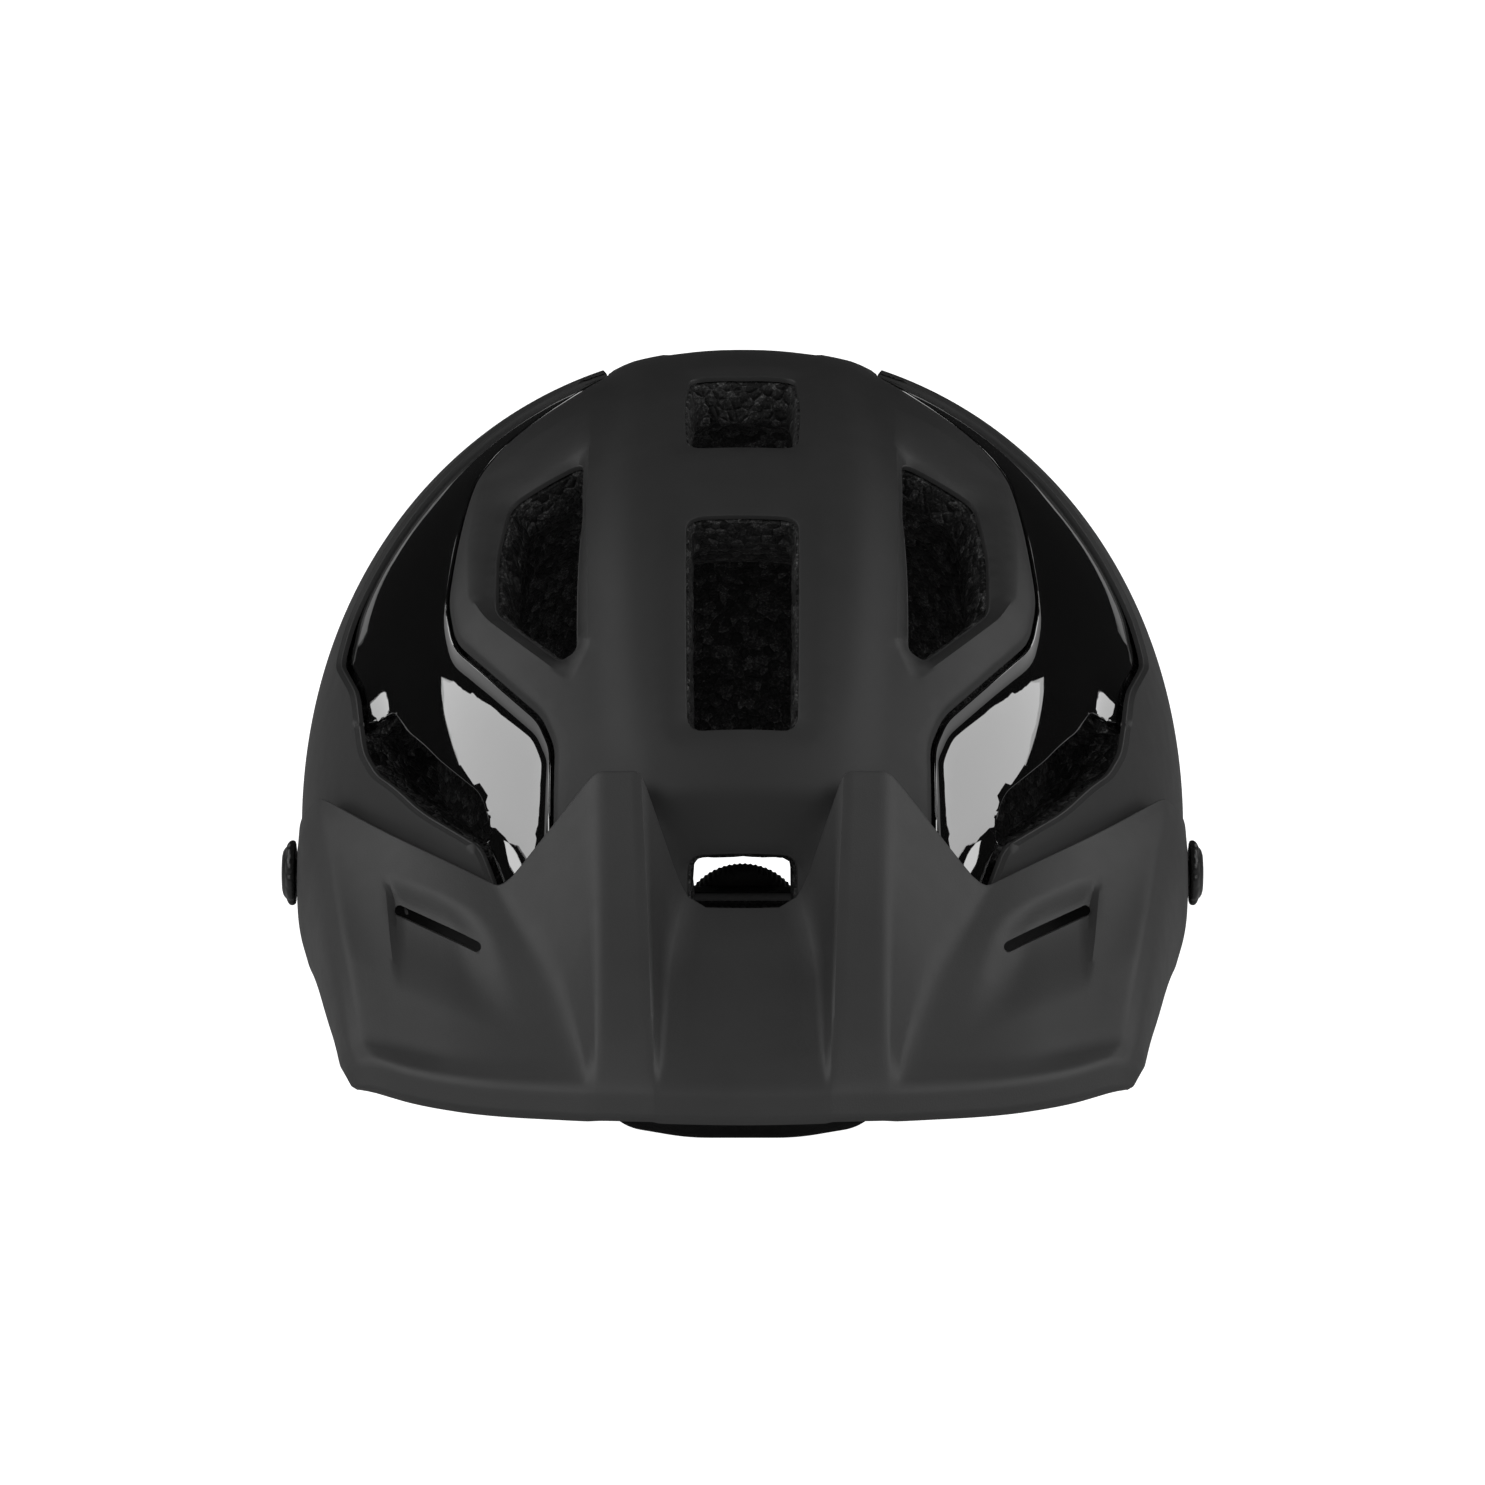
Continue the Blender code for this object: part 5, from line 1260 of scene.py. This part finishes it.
def rack_outline(start, end):
    root, tip, back, top, base = 5.7, 3.9, 9.7, 0.25, 0.75
    outline = [(start, back), (start, root)]
    first = math.ceil((end + 1.5) / TOOTH_PITCH - 0.5)
    last = math.floor((start - 1.5) / TOOTH_PITCH - 0.5)
    for k in range(last, first - 1, -1):
        middle = (k + 0.5) * TOOTH_PITCH
        outline += [(middle + base, root), (middle + top, tip), (middle - top, tip), (middle - base, root)]
    return outline + [(end, root), (end, back)]


def make_arms():
    for name, side in SIDES:
        rack_z = DIAL.z + side * RACK_HEIGHT
        stops = [
            (TEMPLE.x, TEMPLE.y - 5, TEMPLE.z), (TEMPLE.x, -33, 50.4), (69, -18, 46.8), (72.5, 8, 38), (71, 32, 26),
            (64, 57, 11), (57.5, 76, 1), (49, 89.5, rack_z + (1 if side > 0 else 5)), (39, 97, rack_z),
            (30, 99.8, rack_z), (20, DIAL.y, rack_z),
        ]
        coarse = smooth_path([Vector((side * x, y, z)) for x, y, z in stops], 26)
        body = f"arm_{name}"
        ribbon(f"fit_arm_{name}_fine", smooth_path(coarse, 160), NYLON, body, "nylon", (f"fit_arm_{name}",), 4.0, 1.6)
        outline = rack_outline(23.0, -9.0)
        ends = [lambda a, b, y=y: (side * a, y, DIAL.z + side * b) for y in (DIAL.y - 0.7, DIAL.y + 0.7)]
        block(f"fit_rack_{name}", outline, ends, NYLON, body, "nylon", (0.12, 1, 30.0))
        plug = [(TEMPLE.x + out, radius) for out, radius in PLUG_PROFILE]
        turned(f"temple_plug_{name}", plug, (0.0, TEMPLE.y, TEMPLE.z), (side, 0, 0), NYLON, "yoke", "nylon", 72)


def make_cradle():
    """The nape cradle: a dished plate with two windows, each edge rounded and a raised rib inside its rim."""
    half = [(32.5, 3), (33, -23.5), (42, -29), (43, -38), (39, -50), (30, -58.5), (14, -61)]
    outline = fillet(half + [(-x, z) for x, z in reversed(half)], 8.0, 9)
    window = fillet([(13, -33), (34, -31), (32, -46), (25, -52), (13, -53)], 4.0, 8)
    uv, triangles = meshed_with_holes(outline, [window, mirrored(window)], 1.3)
    edges, shift = border(uv, triangles)
    rim = np.minimum.reduce([edge_distance(uv, line) for line in (outline, window, mirrored(window))])
    rib = 0.5 * (np.exp(-(((rim - 1.9) / 0.8) ** 2)))

    def place(at, forward):
        x, z = at[:, 0], at[:, 1]
        tuck = (np.maximum(-26.0 - z, 0.0) / 36.0) ** 2 * 8.0
        return np.stack([x, 94.4 - nape_wrap(x) - tuck + forward, z], axis=1)

    rings = [place(uv + shift * 0.7, 0.0), place(uv + shift * 0.2, 0.2), place(uv, 0.7), place(uv, 1.4)]
    rings += [place(uv + shift * 0.2, 1.9), place(uv + shift * 0.7, 2.0 + rib)]
    points, faces = layered(rings, edges, triangles)
    new_piece("nape_cradle_fine", points, outward(points, faces), NYLON, "cradle", "nylon", ("nape_cradle",), 40.0)


def meshed_with_holes(outline, holes, step):
    lines = [subdivided([tuple(p) for p in line], step) for line in (outline, *holes)]
    points, edges = [], []
    for line in lines:
        first = len(points)
        points += line
        edges += [(first + k, first + (k + 1) % len(line)) for k in range(len(line))]
    fixed = np.array(points)
    low, high = fixed.min(axis=0), fixed.max(axis=0)
    grid = np.array([(x, y) for y in np.arange(low[1], high[1], step) for x in np.arange(low[0], high[0], step)])

    def between(at, margin):
        """Inside the outline and outside every hole, by a margin."""
        held = signed_distance(at, lines[0]) > margin
        for line in lines[1:]:
            held &= signed_distance(at, line) < -margin
        return held

    grid = grid[between(grid, KEEP_OFF * step)]
    uv, triangles = flat_mesh([*points, *map(tuple, grid)], edges, 0)
    return used_only(uv, triangles[between(uv[triangles].mean(axis=1), 0.0)])


def make_dial():
    """The fit dial: a rubber-faced knob with a finely ribbed rim, a raised ring and a pointer; housing and pinion."""
    turned("fit_dial", DIAL_PROFILE, DIAL, (0, 1, 0), RUBBER, "dial", "rubber", 432, False, ribbed, 40.0)
    pointer = [(-1.3, 8.6), (1.3, 8.6), (0.0, 11.0)]
    ends = [lambda a, b, y=y: (DIAL.x + a, DIAL.y + y, DIAL.z + b) for y in (12.8, 13.45)]
    block("fit_dial_pointer", pointer, ends, RUBBER, "dial", "rubber", (0.2, 2, 30.0))
    refined("dial_pinion", NYLON, "dial", "nylon", 0.15, 1)
    refined("dial_housing", NYLON, "cradle", "nylon", 0.6, 3)


def make_hangers():
    arc = []
    for degrees in (-17.0, -13.0, -9.0, -5.0, -1.0, 2.5, 6.0):
        turn = math.radians(degrees)
        arc.append((TEMPLE.y + 141.0 * math.cos(turn), TEMPLE.z + 141.0 * math.sin(turn)))
    for name, side in SIDES:
        path = [Vector((side * 24.0, y, z)) for y, z in [(93.0, -9.0), (92.8, 0.0), *arc]]
        ribbon(
            f"hanger_{name}_fine", smooth_path(path, 64), NYLON, "cradle", "nylon", (f"hanger_{name}",), 8.0, 1.4,
            lambda _: Vector((0, 1, 0)),
        )
        refined(f"hanger_guide_{name}", NYLON, "helmet", "nylon", 0.35, 2)


def make_hook_patches():
    for where in ("brow", "side", "crown_front", "crown_rear"):
        for side, _ in SIDES:
            refined(f"hook_patch_{where}_{side}", HOOKS, "helmet", "webbing", 0.2, 2)


make_shell()
make_foam()
make_visor()
make_pads()
make_straps()
make_visor_fittings()
make_arms()
make_cradle()
make_dial()
make_hangers()
make_hook_patches()


# ---------------------------------------------------------------- studio


CAMERA_PLACE, CAMERA_TILT, CAMERA_LENS = (0.0, -1.6257, 0.5690), 73.0, 172.0
FLOOR_REACH, FLOOR_LEVEL = 6.0, -0.064
WORLD_IN_GLOSS = 0.01
WORLD_IN_DIFFUSE = 0.42
# Each light: name, place, aim, size, power in watts, roll in degrees.
LIGHTS = [
    ("side_left", (1.079, 0.104, 0.734), (-0.026, 0.004, 0.274), (1.44, 0.8), 6.2, 9.0),
    ("side_right", (-1.079, 0.104, 0.734), (0.026, 0.004, 0.274), (1.44, 0.8), 6.2, -9.0),
    ("key_left", (1.2, -1.3, 1.35), (0.0, -0.08, 0.06), (0.9, 0.9), 6.5, 0.0),
    ("key_right", (-1.2, -1.3, 1.35), (0.0, -0.08, 0.06), (0.9, 0.9), 6.5, 0.0),
]


def studio():
    scene = bpy.context.scene
    camera_data = bpy.data.cameras.new("camera")
    camera_data.lens, camera_data.sensor_width = CAMERA_LENS, 36.0
    camera_data.clip_end = 50.0
    camera = bpy.data.objects.new("camera", camera_data)
    camera.location = CAMERA_PLACE
    camera.rotation_euler = (math.radians(CAMERA_TILT), 0.0, 0.0)
    scene.collection.objects.link(camera)
    scene.camera = camera
    scene.view_settings.view_transform = "Standard"

    world = bpy.data.worlds.new("studio")
    scene.world = world
    world.use_nodes = True
    tree = world.node_tree
    back = tree.nodes["Background"]
    paths = tree.nodes.new("ShaderNodeLightPath")

    def switched(ray, otherwise, value):
        """A strength that is value for one kind of ray."""
        node = tree.nodes.new("ShaderNodeMix")
        node.data_type = "FLOAT"
        tree.links.new(paths.outputs[ray], node.inputs[0])
        if isinstance(otherwise, bpy.types.NodeSocket):
            tree.links.new(otherwise, node.inputs[2])
        else:
            node.inputs[2].default_value = otherwise
        node.inputs[3].default_value = value
        return node.outputs[0]

    strength = switched("Is Camera Ray", switched("Is Diffuse Ray", WORLD_IN_GLOSS, WORLD_IN_DIFFUSE), 1.0)
    tree.links.new(strength, back.inputs["Strength"])
    back.inputs["Color"].default_value = (1.0, 1.0, 1.0, 1.0)

    for name, place, aim, size, power, roll in LIGHTS:
        data = bpy.data.lights.new(name, "AREA")
        data.shape, data.size, data.size_y, data.energy = "RECTANGLE", size[0], size[1], power
        lamp = bpy.data.objects.new(name, data)
        lamp.location = place
        facing = (Vector(aim) - Vector(place)).to_track_quat("-Z", "Y")
        lamp.rotation_euler = (facing @ Quaternion((0.0, 0.0, 1.0), math.radians(roll))).to_euler()
        lamp.visible_camera = False
        # The side lights are there for the gloss: the matte parts get theirs from the keys and the surroundings.
        lamp.visible_diffuse = "side" not in name
        scene.collection.objects.link(lamp)

    floor_mesh = bpy.data.meshes.new("floor")
    corners = [(x * FLOOR_REACH, y * FLOOR_REACH, FLOOR_LEVEL) for x, y in ((-1, -1), (1, -1), (1, 1), (-1, 1))]
    floor_mesh.from_pydata(corners, [], [(0, 1, 2, 3)])
    floor = bpy.data.objects.new("floor", floor_mesh)
    white = (1.0, 1.0, 1.0, 1.0)
    made = Nodes("pale_floor", Roughness=0.9, Base_Color=(0.6, 0.6, 0.6, 1.0), Emission_Color=white)
    made.link(made.add("LightPath").outputs["Is Camera Ray"], "Emission Strength")
    floor_mesh.materials.append(made.material)
    scene.collection.objects.link(floor)


studio()
